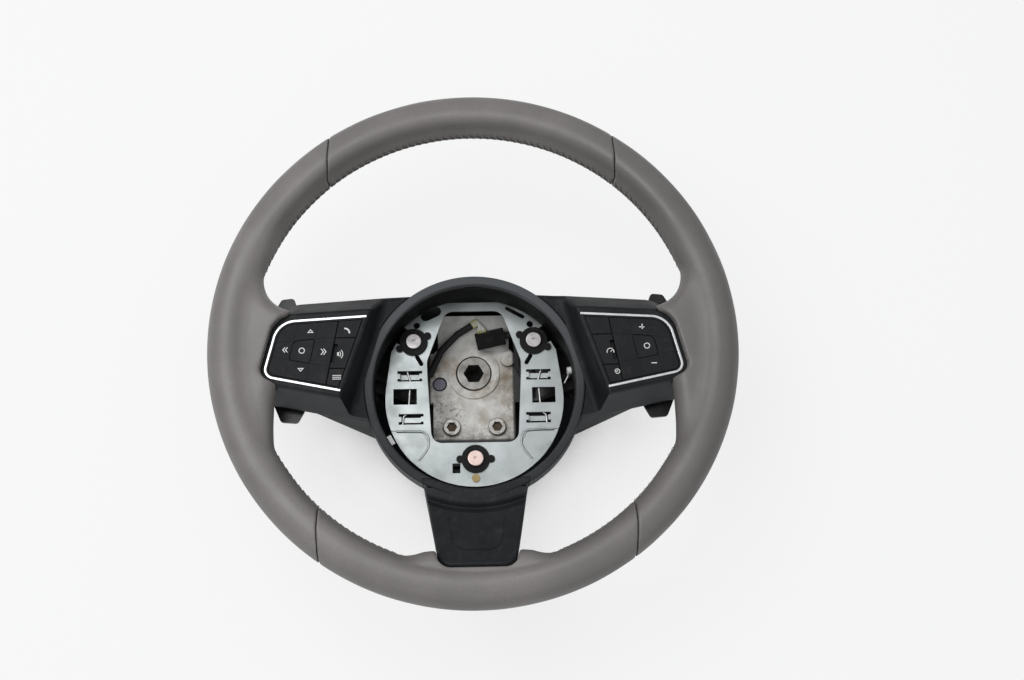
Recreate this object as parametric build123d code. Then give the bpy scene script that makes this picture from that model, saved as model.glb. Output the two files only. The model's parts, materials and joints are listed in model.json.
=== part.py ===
from build123d import *
import math
import os

os.makedirs("parts", exist_ok=True)

# Car steering wheel without its airbag module, lying face up.
# Millimetres and degrees. The origin is on the steering axis at the column bolt seat,
# +Z points to the driver, +Y to 12 o'clock and +X to the right spoke.

# Rim: leather over moulded foam over a cast core
rim_diameter = 375.0
grip_width = 30.0
grip_depth = 31.0
leather_thickness = 1.4
core_diameter = 11.0
rim_height = 86.0
upper_seam_angle = 37.0
lower_seam_angle = 39.0
seam_gap = 0.2

# Leather stubs that reach in to the spokes
stub_front = 9.5
stub_back = 13.0
stub_round = 5.0
stub_top_y = 50.0
stub_bottom_y = -60.0
stub_inner_top_y = 32.0
stub_inner_bottom_y = -45.0
stub_bay = 5.0
lower_stub_half_width = 52.0
lower_stub_reach = 9.0

# Airbag well: shroud ring with a tilted lip, and the rear cover below it
well_centre_y = -26.0
shroud_radius = 79.0
lip_width = 6.5
lip_height = 67.0
lip_tilt = 6.5
shroud_base = 40.0
shroud_wall = 2.2
well_clip_width = 12.0
rear_centre_rise = 10.0
rear_inset = 9.0
rear_bottom = -26.0
rear_wall = 2.6
rear_edge_round = 5.0
rear_screw_head = 1.2
rear_screw_gap = 0.2
rear_screw_short = 2.0
rear_screw_fit = 0.05
column_opening_radius = 31.0
part_gap = 0.35

# Hub of the casting, its steel insert and the fasteners in it
hub_half_width = 31.0
hub_top_y = 20.0
hub_bottom_y = -54.0
hub_face = -2.0
hub_thickness = 7.0
hub_boss_radius = 19.5
hub_boss_rise = 1.5
hub_boss_short = 2.0
ramp_end_y = 43.0
ramp_lap = 2.0
ramp_rise = 11.2
ramp_half_width = 27.0
insert_radius = 13.7
insert_lip_radius = 11.2
insert_length = 24.0
insert_chamfer = 1.2
hex_across_flats = 13.5
hub_screw_x = 17.1
hub_screw_y = -41.7
hub_screw_head_radius = 6.7
hub_screw_head_height = 3.4
hub_screw_shank_radius = 3.6
hub_screw_socket_flats = 7.0
lock_pin_x = -26.0
lock_pin_y = -7.6
lock_pin_radius = 4.3
lock_pin_drop = 1.0
lock_pin_flange = 1.5
lock_hole_radius = 5.6
stop_boss_x = 26.0
stop_boss_y = 10.7
stop_boss_radius = 5.6
stop_boss_height = 4.5

# Arms of the casting, drawn as radius and height
arm_thickness = 8.0
arm_floor = 3.2
arm_side = 3.5
arm_clearance = 1.5
arm_root = 18.0
arm_knee = 52.0
arm_shoulder_inset = 64.5
arm_shoulder_drop = 16.5
arm_outer_inset = 22.5
arm_bend = 14.0
arm_root_half_width = 20.0
arm_tip_half_width = 13.0
arm_centre_y = -3.0
lower_arm_root = 40.0
lower_arm_knee_reach = -27.0
lower_arm_shoulder_reach = 17.0
lower_arm_shoulder_drop = 26.0
lower_arm_outer_drop = 14.0

# Horn plate, its three shoulder bolts, collars and springs
plate_height = 36.0
plate_thickness = 2.0
plate_edge_gap = 7.2
plate_top_gap = 1.8
plate_arc_centre_y = -29.0
plate_top_half_width = 23.5
bolt_inset = 21.0
bolt_drop = 30.4
low_bolt_rise = 20.2
bolt_radius = 3.0
bolt_head_radius = 6.0
bolt_head_height = 2.6
bolt_engagement = 14.0
collar_radius = 10.3
collar_body_radius = 8.0
collar_flange = 1.6
collar_ear_radius = 2.7
collar_ear_reach = 11.3
collar_fit = 0.06
tower_radius = 7.5
tower_height = 22.0
tower_foot_radius = 5.5
spring_radius = 5.4
spring_wire_radius = 0.7
spring_turns = 4
bridge_drop = 3.9
retainer_wire_radius = 0.8
emboss_drop = 0.9
# Each of these places on the plate is an inset from its side and a drop from its top edge
plate_flank_angle = 8.0
plate_shoulder = (10.8, 25.7)
plate_crown = (23.5, 8.5)
plate_hip = (4.4, 37.4)
window_top = (44.8, 6.7)
window_waist_upper = (30.7, 44.7)
window_waist_lower = (30.9, 54.7)
window_bottom = (33.8, 106.4)
window_rounds = [8.0, 12.0, 12.0, 8.0]
wide_slot_place = (33.8, 8.4)
wide_slot_size = (16.0, 7.4)
wide_slot_angle = 25.0
thin_slot_place = (34.3, 8.1)
thin_slot_size = (16.0, 3.0)
thin_slot_angle = -30.0
tooling_hole_place = (23.3, 17.3)
tooling_hole_radius = 2.4
waist_slot_place = (25.0, 44.2)
waist_slot_size = (9.0, 3.0)
waist_slot_angle = 60.0
side_window_place = (14.5, 71.5)
side_window_size = (17.0, 11.6)
bridge_places = [(18.0, 56.0), (18.8, 88.4)]
bridge_size = (18.0, 7.8)
bolt_notch_angle = 30.0
bolt_notch_width = 13.0
pressed_corners = [(1.3, 96.9), (26.3, 96.9), (32.1, 106.9), (22.6, 120.5), (1.3, 120.5)]
retainer_route = [(14.9, 48.7), (18.3, 59.1), (17.2, 76.3), (15.8, 83.6), (13.2, 85.8), (12.3, 94.7)]
square_hole_x = -14.0
square_hole_rise = 13.7
square_hole_size = (5.6, 7.0)
rivet_rise = 6.2
rivet_radius = 1.5
rivet_head_height = 1.0
collar_lower_radius = 9.4
collar_ear_angles = [25.0, 155.0, 0.0]
bolt_dimple_radius = 1.2
seat_gap = 0.05

# Spokes: bezel, trim and switch pack, drawn for the right spoke and mirrored
front_rise = 3.0
pack_top_inner_reach = -3.4
pack_top_inner_y = 19.6
pack_top_outer_inset = 19.7
pack_top_outer_y = 16.0
pack_bottom_outer_inset = 9.8
pack_bottom_outer_y = -23.2
pack_bottom_inner_reach = 14.7
pack_bottom_inner_y = -34.2
pack_top_round = 16.0
pack_bottom_round = 6.5
trim_width = 1.9
trim_proud = 0.9
trim_seat = 1.3
trim_fit = 0.06
bezel_border = 5.2
bezel_wall = 2.4
bezel_round = 3.0
bezel_mid_depth = 17.0
bezel_depth = 29.0
bezel_top_flare = 12.5
bezel_top_flare_rear = 13.5
bezel_mid_flare = 3.8
bezel_rear_flare = 7.0
bezel_root_x = 30.0
slope_start = 1.5
slope_run = 6.0
key_ledge = 0.9
key_gap = 0.4
key_proud = 0.4
key_skirt = 6.0
key_plunger_radius = 2.2
key_travel = 0.8
key_spare = 0.1
key_edge = 0.5
key_slot_width = 3.2
key_slot_length = 14.0
key_slot_depth = 3.5
housing_rim = 1.2
housing_wall = 1.4
housing_depth = 12.0
housing_floor = 1.5
board_thickness = 1.4
mat_thickness = 1.2
divider_top_share = 0.3215
divider_bottom_share = 0.2019
key_split_upper_y = 4.0
key_split_lower_y = -18.2
centre_share = 0.627
centre_y = -5.0
centre_corner_shares = [(-0.208, 0.19), (0.133, 0.16), (0.201, -0.149), (-0.128, -0.213)]
centre_rounds = [1.5, 5.0, 2.0, 1.5]
zone_groove_width = 0.4
zone_groove_depth = 0.25
pad_skin = 2.6
pad_skirt = 1.4
pivot_depth = 4.6
pivot_radius = 0.8
pivot_fit = 0.05
gimbal_share = 0.215
gimbal_width = 2.7
gimbal_thickness = 2.0
pivot_post = 2.6
stem_clearance = 0.9

# Spoke backs and shift paddles
back_depth = 5.0
back_wall = 2.2
back_round = 2.0
back_slope_reach = 5.0
back_foot = -6.0
paddle_pivot_reach = 3.5
paddle_drop = 6.4
paddle_thickness = 3.0
paddle_top_y = 46.0
paddle_bottom_y = -48.0
paddle_outer_inset = 13.0
paddle_neck = 9.0
paddle_root_step = 1.0
paddle_neck_flare = 2.0
paddle_upper_tip = [(16.0, 9.0), (13.0, 0.0), (4.0, 1.0), (0.0, 8.0)]
paddle_lower_tip = [(0.0, 13.0), (5.0, 1.0), (17.0, 0.0), (22.0, 9.0)]
paddle_barrel_radius = 3.2
paddle_barrel_half = 13.0
paddle_pin_radius = 1.5
paddle_lug = 3.2
paddle_fit = 0.05
paddle_side_gap = 0.3

# Lower spoke cover and its back
cover_top_half_width = 38.0
cover_bottom_half_width = 28.0
cover_corner = 10.0
cover_end_overlap = 1.0
cover_wall = 2.4
cover_round = 2.5
cover_rise = 4.0
cover_groove = 4.0
cover_groove_width = 9.0
cover_panel_start = 5.0
cover_side_start = 40.0
cover_side_drop = 20.0
lower_back_gap = 9.0
lower_back_knee = 2.85
emboss_half_width_top = 19.5
emboss_half_width_bottom = 16.5
emboss_start_share = 0.21
emboss_round_share = 0.28
emboss_line = 1.6
emboss_depth = 0.7

# Harness
lead_radius = 2.6
lead_entry_x = 96.0
lead_entry_y = -8.0
wire_radius = 0.7
connector_length = 22.0
connector_width = 12.0
connector_height = 10.0
connector_x = 13.0
connector_up = 10.2
connector_turn = 12.0
lead_bend = 4.0
lead_foot_height = 0.7
lead_lift_x = 86.0
lead_arm_start = 4.0
left_lead_points = [
    (-1.0, 35.3, 9.2),
    (-12.0, 28.8, 7.5),
    (-24.5, 16.5, 5.5),
    (-33.0, -1.0, 3.0),
    (-42.0, -7.0, 1.3),
]
right_lead_points = [(33.0, 18.0, 7.5), (33.5, 4.0, 4.5), (41.0, -6.0, 1.4)]
wire_count = 4
wire_pitch = 1.7
plug_angle = 12.2
plug_height = 46.0
plug_radius = 2.6
plug_tail = 7.8
plug_thickness = 2.8
contact_wire_radius = 0.5
contact_wire_route = [(3.5, 13.0, 36.0), (6.3, 8.0, 36.6)]
edge_clip_angle = 210.0
edge_clip_size = (7.0, 3.0)
edge_clip_reach = 4.0

# Values worked out from the driving sizes
rim_radius = (rim_diameter - grip_width) / 2
arm_foot_height = hub_face - arm_thickness / 2
arm_shoulder = rim_radius - arm_shoulder_inset
arm_shoulder_height = rim_height - arm_shoulder_drop
arm_outer = rim_radius - arm_outer_inset
well_foot = shroud_radius - well_centre_y
lower_arm_knee = well_foot + lower_arm_knee_reach
lower_arm_shoulder = well_foot + lower_arm_shoulder_reach
lower_arm_shoulder_height = rim_height - lower_arm_shoulder_drop
lower_arm_outer_height = rim_height - lower_arm_outer_drop
back_slope_x = arm_shoulder + back_slope_reach
cover_side_end = rim_height - cover_side_drop
inner_radius = rim_diameter / 2 - grip_width
front = rim_height + front_rise
spoke_mid = front - bezel_mid_depth
spoke_rear = front - bezel_depth
back_bottom = spoke_rear - back_depth
shroud_inner_radius = shroud_radius - lip_width
rear_centre_y = well_centre_y + rear_centre_rise
rear_radius = shroud_radius - rear_inset
plate_top = plate_height + plate_thickness
plate_radius = shroud_inner_radius - plate_edge_gap
plate_top_y = well_centre_y + shroud_inner_radius - plate_top_gap
plate_low_y = plate_arc_centre_y - plate_radius
bolt_x = plate_radius - bolt_inset
bolt_y = plate_top_y - bolt_drop
low_bolt_y = plate_low_y + low_bolt_rise
pivot_height = front + key_proud - pivot_depth
housing_bottom = front - housing_depth
board_bottom = housing_bottom + housing_floor
mat_bottom = board_bottom + board_thickness
mat_top = mat_bottom + mat_thickness
key_top = front + key_proud
key_bottom = key_top - key_skirt
plunger_bottom = mat_top + key_travel + key_spare
paddle_pivot_x = back_slope_x + paddle_pivot_reach
paddle_height = back_bottom - paddle_drop
big = 4 * rim_diameter

lip_plane = Plane(
    origin=(0, well_centre_y, lip_height),
    x_dir=(1, 0, 0),
    z_dir=(0, -math.sin(math.radians(lip_tilt)), math.cos(math.radians(lip_tilt))),
)


def save(name, *solids):
    """Write one node, which may be a group of like solids."""
    found = [solid for shape in solids for solid in shape.solids()]
    shape = found[0] if len(found) == 1 else Compound(found)
    shape.label = name
    export_step(shape, f"parts/{name}.step")


def prism(sketch, low, high):
    """A plan outline raised between two heights."""
    return extrude(Pos(0, 0, low) * sketch, amount=high - low, dir=(0, 0, 1))


def under(plane, drop=0.0):
    """Everything below a plane that is lowered by drop."""
    lower_side = (Align.CENTER, Align.CENTER, Align.MAX)
    return plane.offset(-drop).location * Box(big, big, big, align=lower_side)


def over(plane, drop=0.0):
    """Everything above a plane that is lowered by drop."""
    upper_side = (Align.CENTER, Align.CENTER, Align.MIN)
    return plane.offset(-drop).location * Box(big, big, big, align=upper_side)


def rod(start, end, radius):
    """A round bar between two points."""
    run = Vector(*end) - Vector(*start)
    return extrude(Plane(origin=start, z_dir=run) * Circle(radius), amount=run.length)


def disc(x, y, low, high, radius):
    """An upright cylinder."""
    return prism(Pos(x, y) * Circle(radius), low, high)


def half_plane(start, end, gap):
    """The plan to the left of a directed line, a gap away from it."""
    along = (end - start).normalized()
    left = Vector(-along.Y, along.X)
    base = start + left * gap
    first = base - along * rim_diameter
    second = base + along * rim_diameter
    away = left * rim_diameter
    return make_face(Polyline(first, second, second + away, first + away, close=True))


def sweep_round(path, radius):
    """A round wire along a path."""
    return sweep(Plane(origin=path @ 0, z_dir=path % 0) * Circle(radius), path=path)


def left_of(shape):
    """The left-hand twin of a right-hand piece."""
    return mirror(shape, about=Plane.YZ)


def turn_down(shape):
    """Turn a piece drawn along +X to 6 o'clock."""
    return Rot(0, 0, -90) * shape


# Spoke outlines
pack_top_inner = Vector(shroud_radius + pack_top_inner_reach, pack_top_inner_y)
pack_top_outer = Vector(inner_radius - pack_top_outer_inset, pack_top_outer_y)
pack_bottom_outer = Vector(inner_radius - pack_bottom_outer_inset, pack_bottom_outer_y)
pack_bottom_inner = Vector(shroud_radius + pack_bottom_inner_reach, pack_bottom_inner_y)


def height_on(first, second, x):
    """The y of the line through two points at an x."""
    return first.Y + (second.Y - first.Y) * (x - first.X) / (second.X - first.X)


def reach_on(first, second, y):
    """The x of the line through two points at a y."""
    return first.X + (second.X - first.X) * (y - first.Y) / (second.Y - first.Y)


def between(first, second, share):
    """The value a share of the way from one to another."""
    return first + (second - first) * share


def spoke_outline(top_shift, bottom_shift, growth):
    """Plan of a spoke: the trim line moved out at top and bottom, then grown all round."""
    slant = (pack_top_outer - pack_bottom_outer) / (pack_top_outer.Y - pack_bottom_outer.Y)
    top_outer = pack_top_outer + slant * top_shift
    bottom_outer = pack_bottom_outer - slant * bottom_shift
    top_inner = (bezel_root_x, height_on(pack_top_inner, pack_top_outer, bezel_root_x) + top_shift)
    root_bottom_y = height_on(pack_bottom_inner, pack_bottom_outer, bezel_root_x)
    bottom_inner = (bezel_root_x, root_bottom_y - bottom_shift)
    outline = FilletPolyline(
        top_inner,
        top_outer,
        bottom_outer,
        bottom_inner,
        radius=[0, pack_top_round, pack_bottom_round, 0],
        close=True,
    )
    return offset(make_face(outline), growth, kind=Kind.INTERSECTION)


def spoke_body(growth, top, bottom):
    """The flared spoke between two heights, grown or shrunk all round."""
    border = bezel_border + growth
    levels = [
        Pos(0, 0, top) * spoke_outline(0, 0, border),
        Pos(0, 0, spoke_mid) * spoke_outline(bezel_top_flare, bezel_mid_flare, border),
        Pos(0, 0, bottom) * spoke_outline(bezel_top_flare_rear, bezel_rear_flare, border),
    ]
    return loft(levels, ruled=True)


def pack_outline(growth):
    """Plan of the switch pack inside the trim line."""
    outline = FilletPolyline(
        pack_top_inner,
        pack_top_outer,
        pack_bottom_outer,
        pack_bottom_inner,
        radius=[0, pack_top_round, pack_bottom_round, 0],
        close=True,
    )
    return offset(make_face(outline), growth, kind=Kind.INTERSECTION)


# The spoke face falls away to the well between the switch pack and the shroud lip
slope_along = (pack_bottom_inner - pack_top_inner).normalized()
slope_inward = Vector(slope_along.Y, -slope_along.X)
slope_edge = pack_top_inner + slope_inward * slope_start
slope_fall = slope_inward * slope_run + Vector(0, 0, lip_height - front)
slope_plane = Plane(
    origin=(slope_edge.X, slope_edge.Y, front),
    x_dir=(slope_along.X, slope_along.Y, 0),
    z_dir=slope_fall.cross(slope_along),
)


def slope_cut(drop):
    """What is taken off a spoke beside the well."""
    return over(slope_plane, drop) & over(lip_plane, drop)


def well_cylinder(radius):
    """The round of the well, right through the wheel."""
    return disc(0, well_centre_y, -rim_diameter, rim_diameter, radius)


# Rim section, foam, stubs and leather
def rim_section(shrink):
    """The oval of the grip standing at the right of the wheel."""
    oval = Ellipse(grip_width / 2 - shrink, grip_depth / 2 - shrink)
    return Plane.XZ * (Pos(rim_radius, rim_height) * oval)


def rim_sector(start, end, shrink):
    """The grip swept between two angles from the right spoke."""
    return revolve(Rot(0, 0, start) * rim_section(shrink), axis=Axis.Z, revolution_arc=end - start)


def stub(shrink):
    """The rounded stub that carries the leather in to the right spoke."""
    top = (math.sqrt(inner_radius**2 - stub_top_y**2), stub_top_y)
    bottom = (math.sqrt(inner_radius**2 - stub_bottom_y**2), stub_bottom_y)
    inner_top = (pack_top_outer.X - bezel_border, stub_inner_top_y)
    inner_bottom = (pack_top_outer.X, stub_inner_bottom_y)
    top_bay = Vector(*top) * 0.5 + Vector(*inner_top) * 0.5 + Vector(stub_bay, -stub_bay)
    bottom_bay = Vector(*bottom) * 0.5 + Vector(*inner_bottom) * 0.5 + Vector(stub_bay, stub_bay) * 0.5
    plan = make_face(
        [
            ThreePointArc(top, top_bay, inner_top),
            Line(inner_top, inner_bottom),
            ThreePointArc(inner_bottom, bottom_bay, bottom),
            Line(bottom, (rim_radius, stub_bottom_y)),
            Line((rim_radius, stub_bottom_y), (rim_radius, stub_top_y)),
            Line((rim_radius, stub_top_y), top),
        ]
    )
    block = prism(offset(plan, -shrink), rim_height - stub_back + shrink, rim_height + stub_front - shrink)
    rims = block.faces().sort_by(Axis.Z)[0].edges() + block.faces().sort_by(Axis.Z)[-1].edges()
    return fillet(rims, stub_round - shrink)


def lower_stub(shrink):
    """The stub either side of the lower spoke."""
    plan = Polygon(
        (-lower_stub_half_width, -rim_radius),
        (lower_stub_half_width, -rim_radius),
        (cover_bottom_half_width + lower_stub_reach, lower_stub_reach - inner_radius),
        (-cover_bottom_half_width - lower_stub_reach, lower_stub_reach - inner_radius),
        align=None,
    )
    block = prism(offset(plan, -shrink), rim_height - stub_back + shrink, rim_height + stub_front - shrink)
    rims = block.faces().sort_by(Axis.Z)[0].edges() + block.faces().sort_by(Axis.Z)[-1].edges()
    return fillet(rims, stub_round - shrink)


# Lower spoke plan
cover_end_y = -inner_radius - cover_end_overlap
cover_top_y = well_centre_y - shroud_inner_radius + lip_width
cover_line = -inner_radius + lower_stub_reach


def cover_plan(growth):
    """Plan of the lower spoke cover, tapering down to the rim."""
    taper = (cover_top_half_width - cover_bottom_half_width) / (cover_top_y - cover_line)
    end_half_width = cover_bottom_half_width + taper * (cover_end_y - cover_line)
    outline = FilletPolyline(
        (-cover_top_half_width, cover_top_y),
        (cover_top_half_width, cover_top_y),
        (end_half_width, cover_end_y),
        (-end_half_width, cover_end_y),
        radius=[0, 0, cover_corner, cover_corner],
        close=True,
    )
    return offset(make_face(outline), growth, kind=Kind.INTERSECTION)


# Casting: hub, arms, spring towers and rim core in one piece
towers = [(-bolt_x, bolt_y), (bolt_x, bolt_y), (0, low_bolt_y)]


def arm(points, root_half, tip_half, centre):
    """One arm along +X: a bent channel that tapers to the rim core."""
    path = FilletPolyline(*points, radius=arm_bend)
    strap = trace(path, line_width=arm_thickness)
    start, end = points[0][0], points[-1][0]
    taper = Polygon((start, -root_half), (end, -tip_half), (end, tip_half), (start, root_half), align=None)
    body = extrude(Plane.XZ * strap, amount=rim_diameter, both=True)
    body &= prism(taper, -rim_diameter, rim_diameter)
    groove = extrude(Plane.XZ * (Pos(0, arm_floor) * strap), amount=rim_diameter, both=True)
    inner = Polygon(
        (points[1][0] - arm_bend / 2, arm_side - root_half),
        (points[3][0], arm_side - tip_half),
        (points[3][0], tip_half - arm_side),
        (points[1][0] - arm_bend / 2, root_half - arm_side),
        align=None,
    )
    groove &= prism(inner, -rim_diameter, rim_diameter)
    return Pos(0, centre) * (body - groove)


def casting():
    """The die casting that carries everything else."""
    hub_plan = Polygon(
        (-hub_half_width, hub_bottom_y),
        (hub_half_width, hub_bottom_y),
        (hub_half_width, hub_top_y),
        (-hub_half_width, hub_top_y),
        align=None,
    )
    hub_plan = fillet(hub_plan.vertices(), hub_screw_head_radius)
    low = hub_face - hub_thickness
    body = prism(hub_plan, low, hub_face)
    body += disc(0, 0, hub_boss_short - insert_length, hub_face + hub_boss_rise, hub_boss_radius)
    ramp = Plane.YZ * Polygon(
        (hub_top_y - ramp_lap, low),
        (hub_top_y - ramp_lap, hub_face),
        (ramp_end_y, hub_face + ramp_rise),
        (ramp_end_y, low + ramp_rise),
        align=None,
    )
    body += extrude(ramp, amount=ramp_half_width, both=True)
    side_points = [
        (arm_root, arm_foot_height),
        (arm_knee, arm_foot_height),
        (arm_shoulder, arm_shoulder_height),
        (arm_outer, arm_shoulder_height),
        (rim_radius, rim_height),
    ]
    lower_points = [
        (lower_arm_root, arm_foot_height),
        (lower_arm_knee, arm_foot_height),
        (lower_arm_shoulder, lower_arm_shoulder_height),
        (arm_outer, lower_arm_outer_height),
        (rim_radius, rim_height),
    ]
    right_arm = arm(side_points, arm_root_half_width, arm_tip_half_width, arm_centre_y)
    lower_arm = turn_down(arm(lower_points, arm_root_half_width, arm_tip_half_width, 0))
    body += right_arm
    body += left_of(right_arm)
    body += lower_arm
    core = revolve(Plane.XZ * (Pos(rim_radius, rim_height) * Circle(core_diameter / 2)), axis=Axis.Z)
    body += core
    for x, y in towers:
        web = trace(Line((0, 0), (x, y)), line_width=2 * tower_foot_radius)
        body += prism(web, low, hub_face)
        body += disc(x, y, low, tower_height, tower_radius)
        body += disc(x, y, rear_bottom + rear_wall, low, tower_foot_radius)
    body += disc(stop_boss_x, stop_boss_y, low, hub_face + stop_boss_height, stop_boss_radius)
    for x, y in towers:
        body -= disc(x, y, tower_height - bolt_engagement, tower_height, bolt_radius)
        body -= disc(x, y, rear_bottom + rear_wall, low, hub_screw_shank_radius / 2)
    body -= disc(0, 0, -insert_length, rim_height, insert_radius)
    body -= disc(lock_pin_x, lock_pin_y, low - arm_thickness, rim_height, lock_hole_radius)
    for x in (-hub_screw_x, hub_screw_x):
        body -= disc(x, hub_screw_y, low, hub_face, hub_screw_shank_radius)
    return body


armature = casting()
save("armature", armature)

# Steel insert with the hexagonal seat for the column
insert = disc(0, 0, -insert_length, 0, insert_radius)
insert = chamfer(insert.edges().sort_by(Axis.Z)[-1], insert_radius - insert_lip_radius, insert_chamfer)
hexagon = RegularPolygon(hex_across_flats / 2, 6, major_radius=False)
save("hub_insert", insert - prism(hexagon, -insert_length, rim_height))

# Hub screws and the lock pin
hub_screws = []
for x in (-hub_screw_x, hub_screw_x):
    screw = disc(x, hub_screw_y, hub_face, hub_face + hub_screw_head_height, hub_screw_head_radius)
    screw = fillet(screw.edges().sort_by(Axis.Z)[-1], hub_screw_head_height / 4)
    screw += disc(x, hub_screw_y, hub_face - hub_thickness, hub_face, hub_screw_shank_radius)
    socket = Pos(x, hub_screw_y) * RegularPolygon(hub_screw_socket_flats / 2, 6, major_radius=False)
    hub_screws.append(screw - prism(socket, hub_face, rim_height))
save("hub_screws", *hub_screws)

pin_low = arm_foot_height - arm_thickness / 2
lock_pin = disc(lock_pin_x, lock_pin_y, pin_low, hub_face - lock_pin_drop, lock_pin_radius)
lock_pin += disc(lock_pin_x, lock_pin_y, pin_low, pin_low + lock_pin_flange, lock_hole_radius)
save("lock_pin", lock_pin)

# Rim foam and the four leather pieces
bezel_recess = spoke_body(part_gap, front, spoke_rear)
bezel_recess += prism(spoke_outline(0, 0, bezel_border + part_gap), front, front + grip_depth)
cover_recess = prism(cover_plan(part_gap), 0, front + grip_depth)


foam = rim_sector(0, 360, leather_thickness)
foam += stub(leather_thickness)
foam += left_of(stub(leather_thickness))
foam += lower_stub(leather_thickness)
foam -= bezel_recess
foam -= left_of(bezel_recess)
foam -= cover_recess
save("rim_foam", foam - armature)

right_start = lower_seam_angle - 90
right_end = 90 - upper_seam_angle
half_seam = math.degrees(seam_gap / 2 / rim_radius)
right_grip = rim_sector(right_start + half_seam, right_end - half_seam, 0) + stub(0)
right_grip -= rim_sector(right_start, right_end, leather_thickness)
right_grip -= stub(leather_thickness)
right_grip -= bezel_recess
right_grip -= armature
save("leather_right", right_grip)
left_grip = left_of(right_grip)
save("leather_left", left_grip)
upper_grip = rim_sector(right_end + half_seam, 180 - right_end - half_seam, 0)
upper_grip -= rim_sector(right_end, 180 - right_end, leather_thickness)
save("leather_upper", upper_grip)
lower_grip = rim_sector(180 - right_start + half_seam, 360 + right_start - half_seam, 0) + lower_stub(0)
lower_grip -= rim_sector(180 - right_start, 360 + right_start, leather_thickness)
lower_grip -= lower_stub(leather_thickness)
lower_grip -= cover_recess
lower_grip -= armature
save("leather_lower", lower_grip)

# Shroud ring round the airbag well, with its tilted lip
ring = well_cylinder(shroud_radius) - well_cylinder(shroud_inner_radius)
ring &= prism(Circle(rim_diameter), shroud_base, front)
ring &= under(lip_plane)
ring_edges = ring.faces().sort_by(Axis.Z)[-1].edges()
ring = fillet(ring_edges, lip_width / 4)
hollow = well_cylinder(shroud_radius - shroud_wall) - well_cylinder(shroud_inner_radius + shroud_wall)
hollow &= prism(Circle(rim_diameter), 0, front)
hollow &= under(lip_plane, shroud_wall)
lip_ring = ring - hollow
clip_slot_place = Pos(0, well_centre_y + shroud_inner_radius, lip_height)
clip_slot = clip_slot_place * Box(well_clip_width, lip_width, 3 * shroud_wall)
shroud = lip_ring - prism(cover_plan(part_gap), 0, front) - clip_slot
save("hub_shroud", shroud)


def rear_envelope(growth):
    """Outside of the rear cover, grown by a gap."""
    levels = [
        Pos(0, well_centre_y, shroud_base) * Circle(shroud_radius + growth),
        Pos(0, rear_centre_y, rear_bottom) * Circle(rear_radius + growth),
    ]
    return loft(levels, ruled=True)


# Rear cover: the bowl behind the hub, open for the column and for the three arms
rear_cover = fillet(rear_envelope(0).edges().sort_by(Axis.Z)[0], rear_edge_round)
bowl_floor_radius = rear_radius - rear_wall - rear_edge_round / 2
bowl = loft(
    [
        Pos(0, well_centre_y, shroud_base) * Circle(shroud_radius - rear_wall),
        Pos(0, rear_centre_y, rear_bottom + rear_wall) * Circle(bowl_floor_radius),
    ],
    ruled=True,
)
rear_cover -= bowl
rear_cover -= disc(0, 0, rear_bottom, shroud_base, column_opening_radius)
arm_slot_half = arm_root_half_width + arm_clearance
arm_slot = Pos(0, arm_centre_y, back_foot + back_wall) * Box(
    rim_diameter, 2 * arm_slot_half, rim_diameter, align=(Align.CENTER, Align.CENTER, Align.MIN)
)
lower_slot = Pos(0, 0, back_foot + back_wall) * Box(
    2 * arm_slot_half, rim_diameter, rim_diameter, align=(Align.CENTER, Align.MAX, Align.MIN)
)
rear_cover -= arm_slot
rear_cover -= lower_slot
rear_screw_radius = hub_screw_shank_radius / 2
for x, y in towers:
    rear_cover -= disc(x, y, rear_bottom, shroud_base, rear_screw_radius)
    rear_cover -= disc(x, y, rear_bottom, rear_bottom + rear_screw_head, 2 * rear_screw_radius)
save("rear_cover", rear_cover)

rear_screws = []
screw_seat = rear_bottom + rear_screw_head
screw_end = hub_face - hub_thickness - rear_screw_short
for x, y in towers:
    screw = disc(x, y, rear_bottom + rear_screw_gap, screw_seat, 2 * rear_screw_radius - rear_screw_gap)
    screw += disc(x, y, screw_seat, screw_end, rear_screw_radius - rear_screw_fit)
    rear_screws.append(screw)
save("rear_cover_screws", *rear_screws)

# Right spoke bezel, mirrored for the left
trim_path = FilletPolyline(
    pack_top_inner,
    pack_top_outer,
    pack_bottom_outer,
    pack_bottom_inner,
    radius=[pack_top_round, pack_bottom_round],
)
trim_line = trace(trim_path, line_width=trim_width)
trim_groove = trace(trim_path, line_width=trim_width + trim_fit)
key_field = pack_outline(-trim_width / 2 - key_ledge - key_gap)

bezel = spoke_body(0, front, spoke_rear) - slope_cut(0)
bezel = fillet(bezel.faces().filter_by(Axis.Z).sort_by(Axis.Z)[-1].edges(), bezel_round)
inside = spoke_body(-bezel_wall, front - bezel_wall, spoke_rear) - slope_cut(bezel_wall)
bezel -= inside
bezel -= well_cylinder(shroud_radius + part_gap)
bezel -= prism(offset(key_field, key_gap, kind=Kind.INTERSECTION), spoke_mid, front)
bezel -= prism(trim_groove, front - trim_seat, front + grip_depth)
arm_notch_half = arm_tip_half_width + 2 * arm_clearance
arm_notch_top = arm_shoulder_height + arm_thickness / 2 + 3 * arm_clearance
bezel -= Pos(pack_top_outer.X, arm_centre_y, arm_notch_top) * Box(
    rim_radius, 2 * arm_notch_half, big, align=(Align.MIN, Align.CENTER, Align.MAX)
)
save("right_spoke_bezel", bezel)
save("left_spoke_bezel", left_of(bezel))

trim = prism(trim_line, front - trim_seat, front + trim_proud)
trim = fillet(trim.faces().sort_by(Axis.Z)[-1].edges(), trim_width / 5)
save("right_chrome_trim", trim)
save("left_chrome_trim", left_of(trim))

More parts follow.
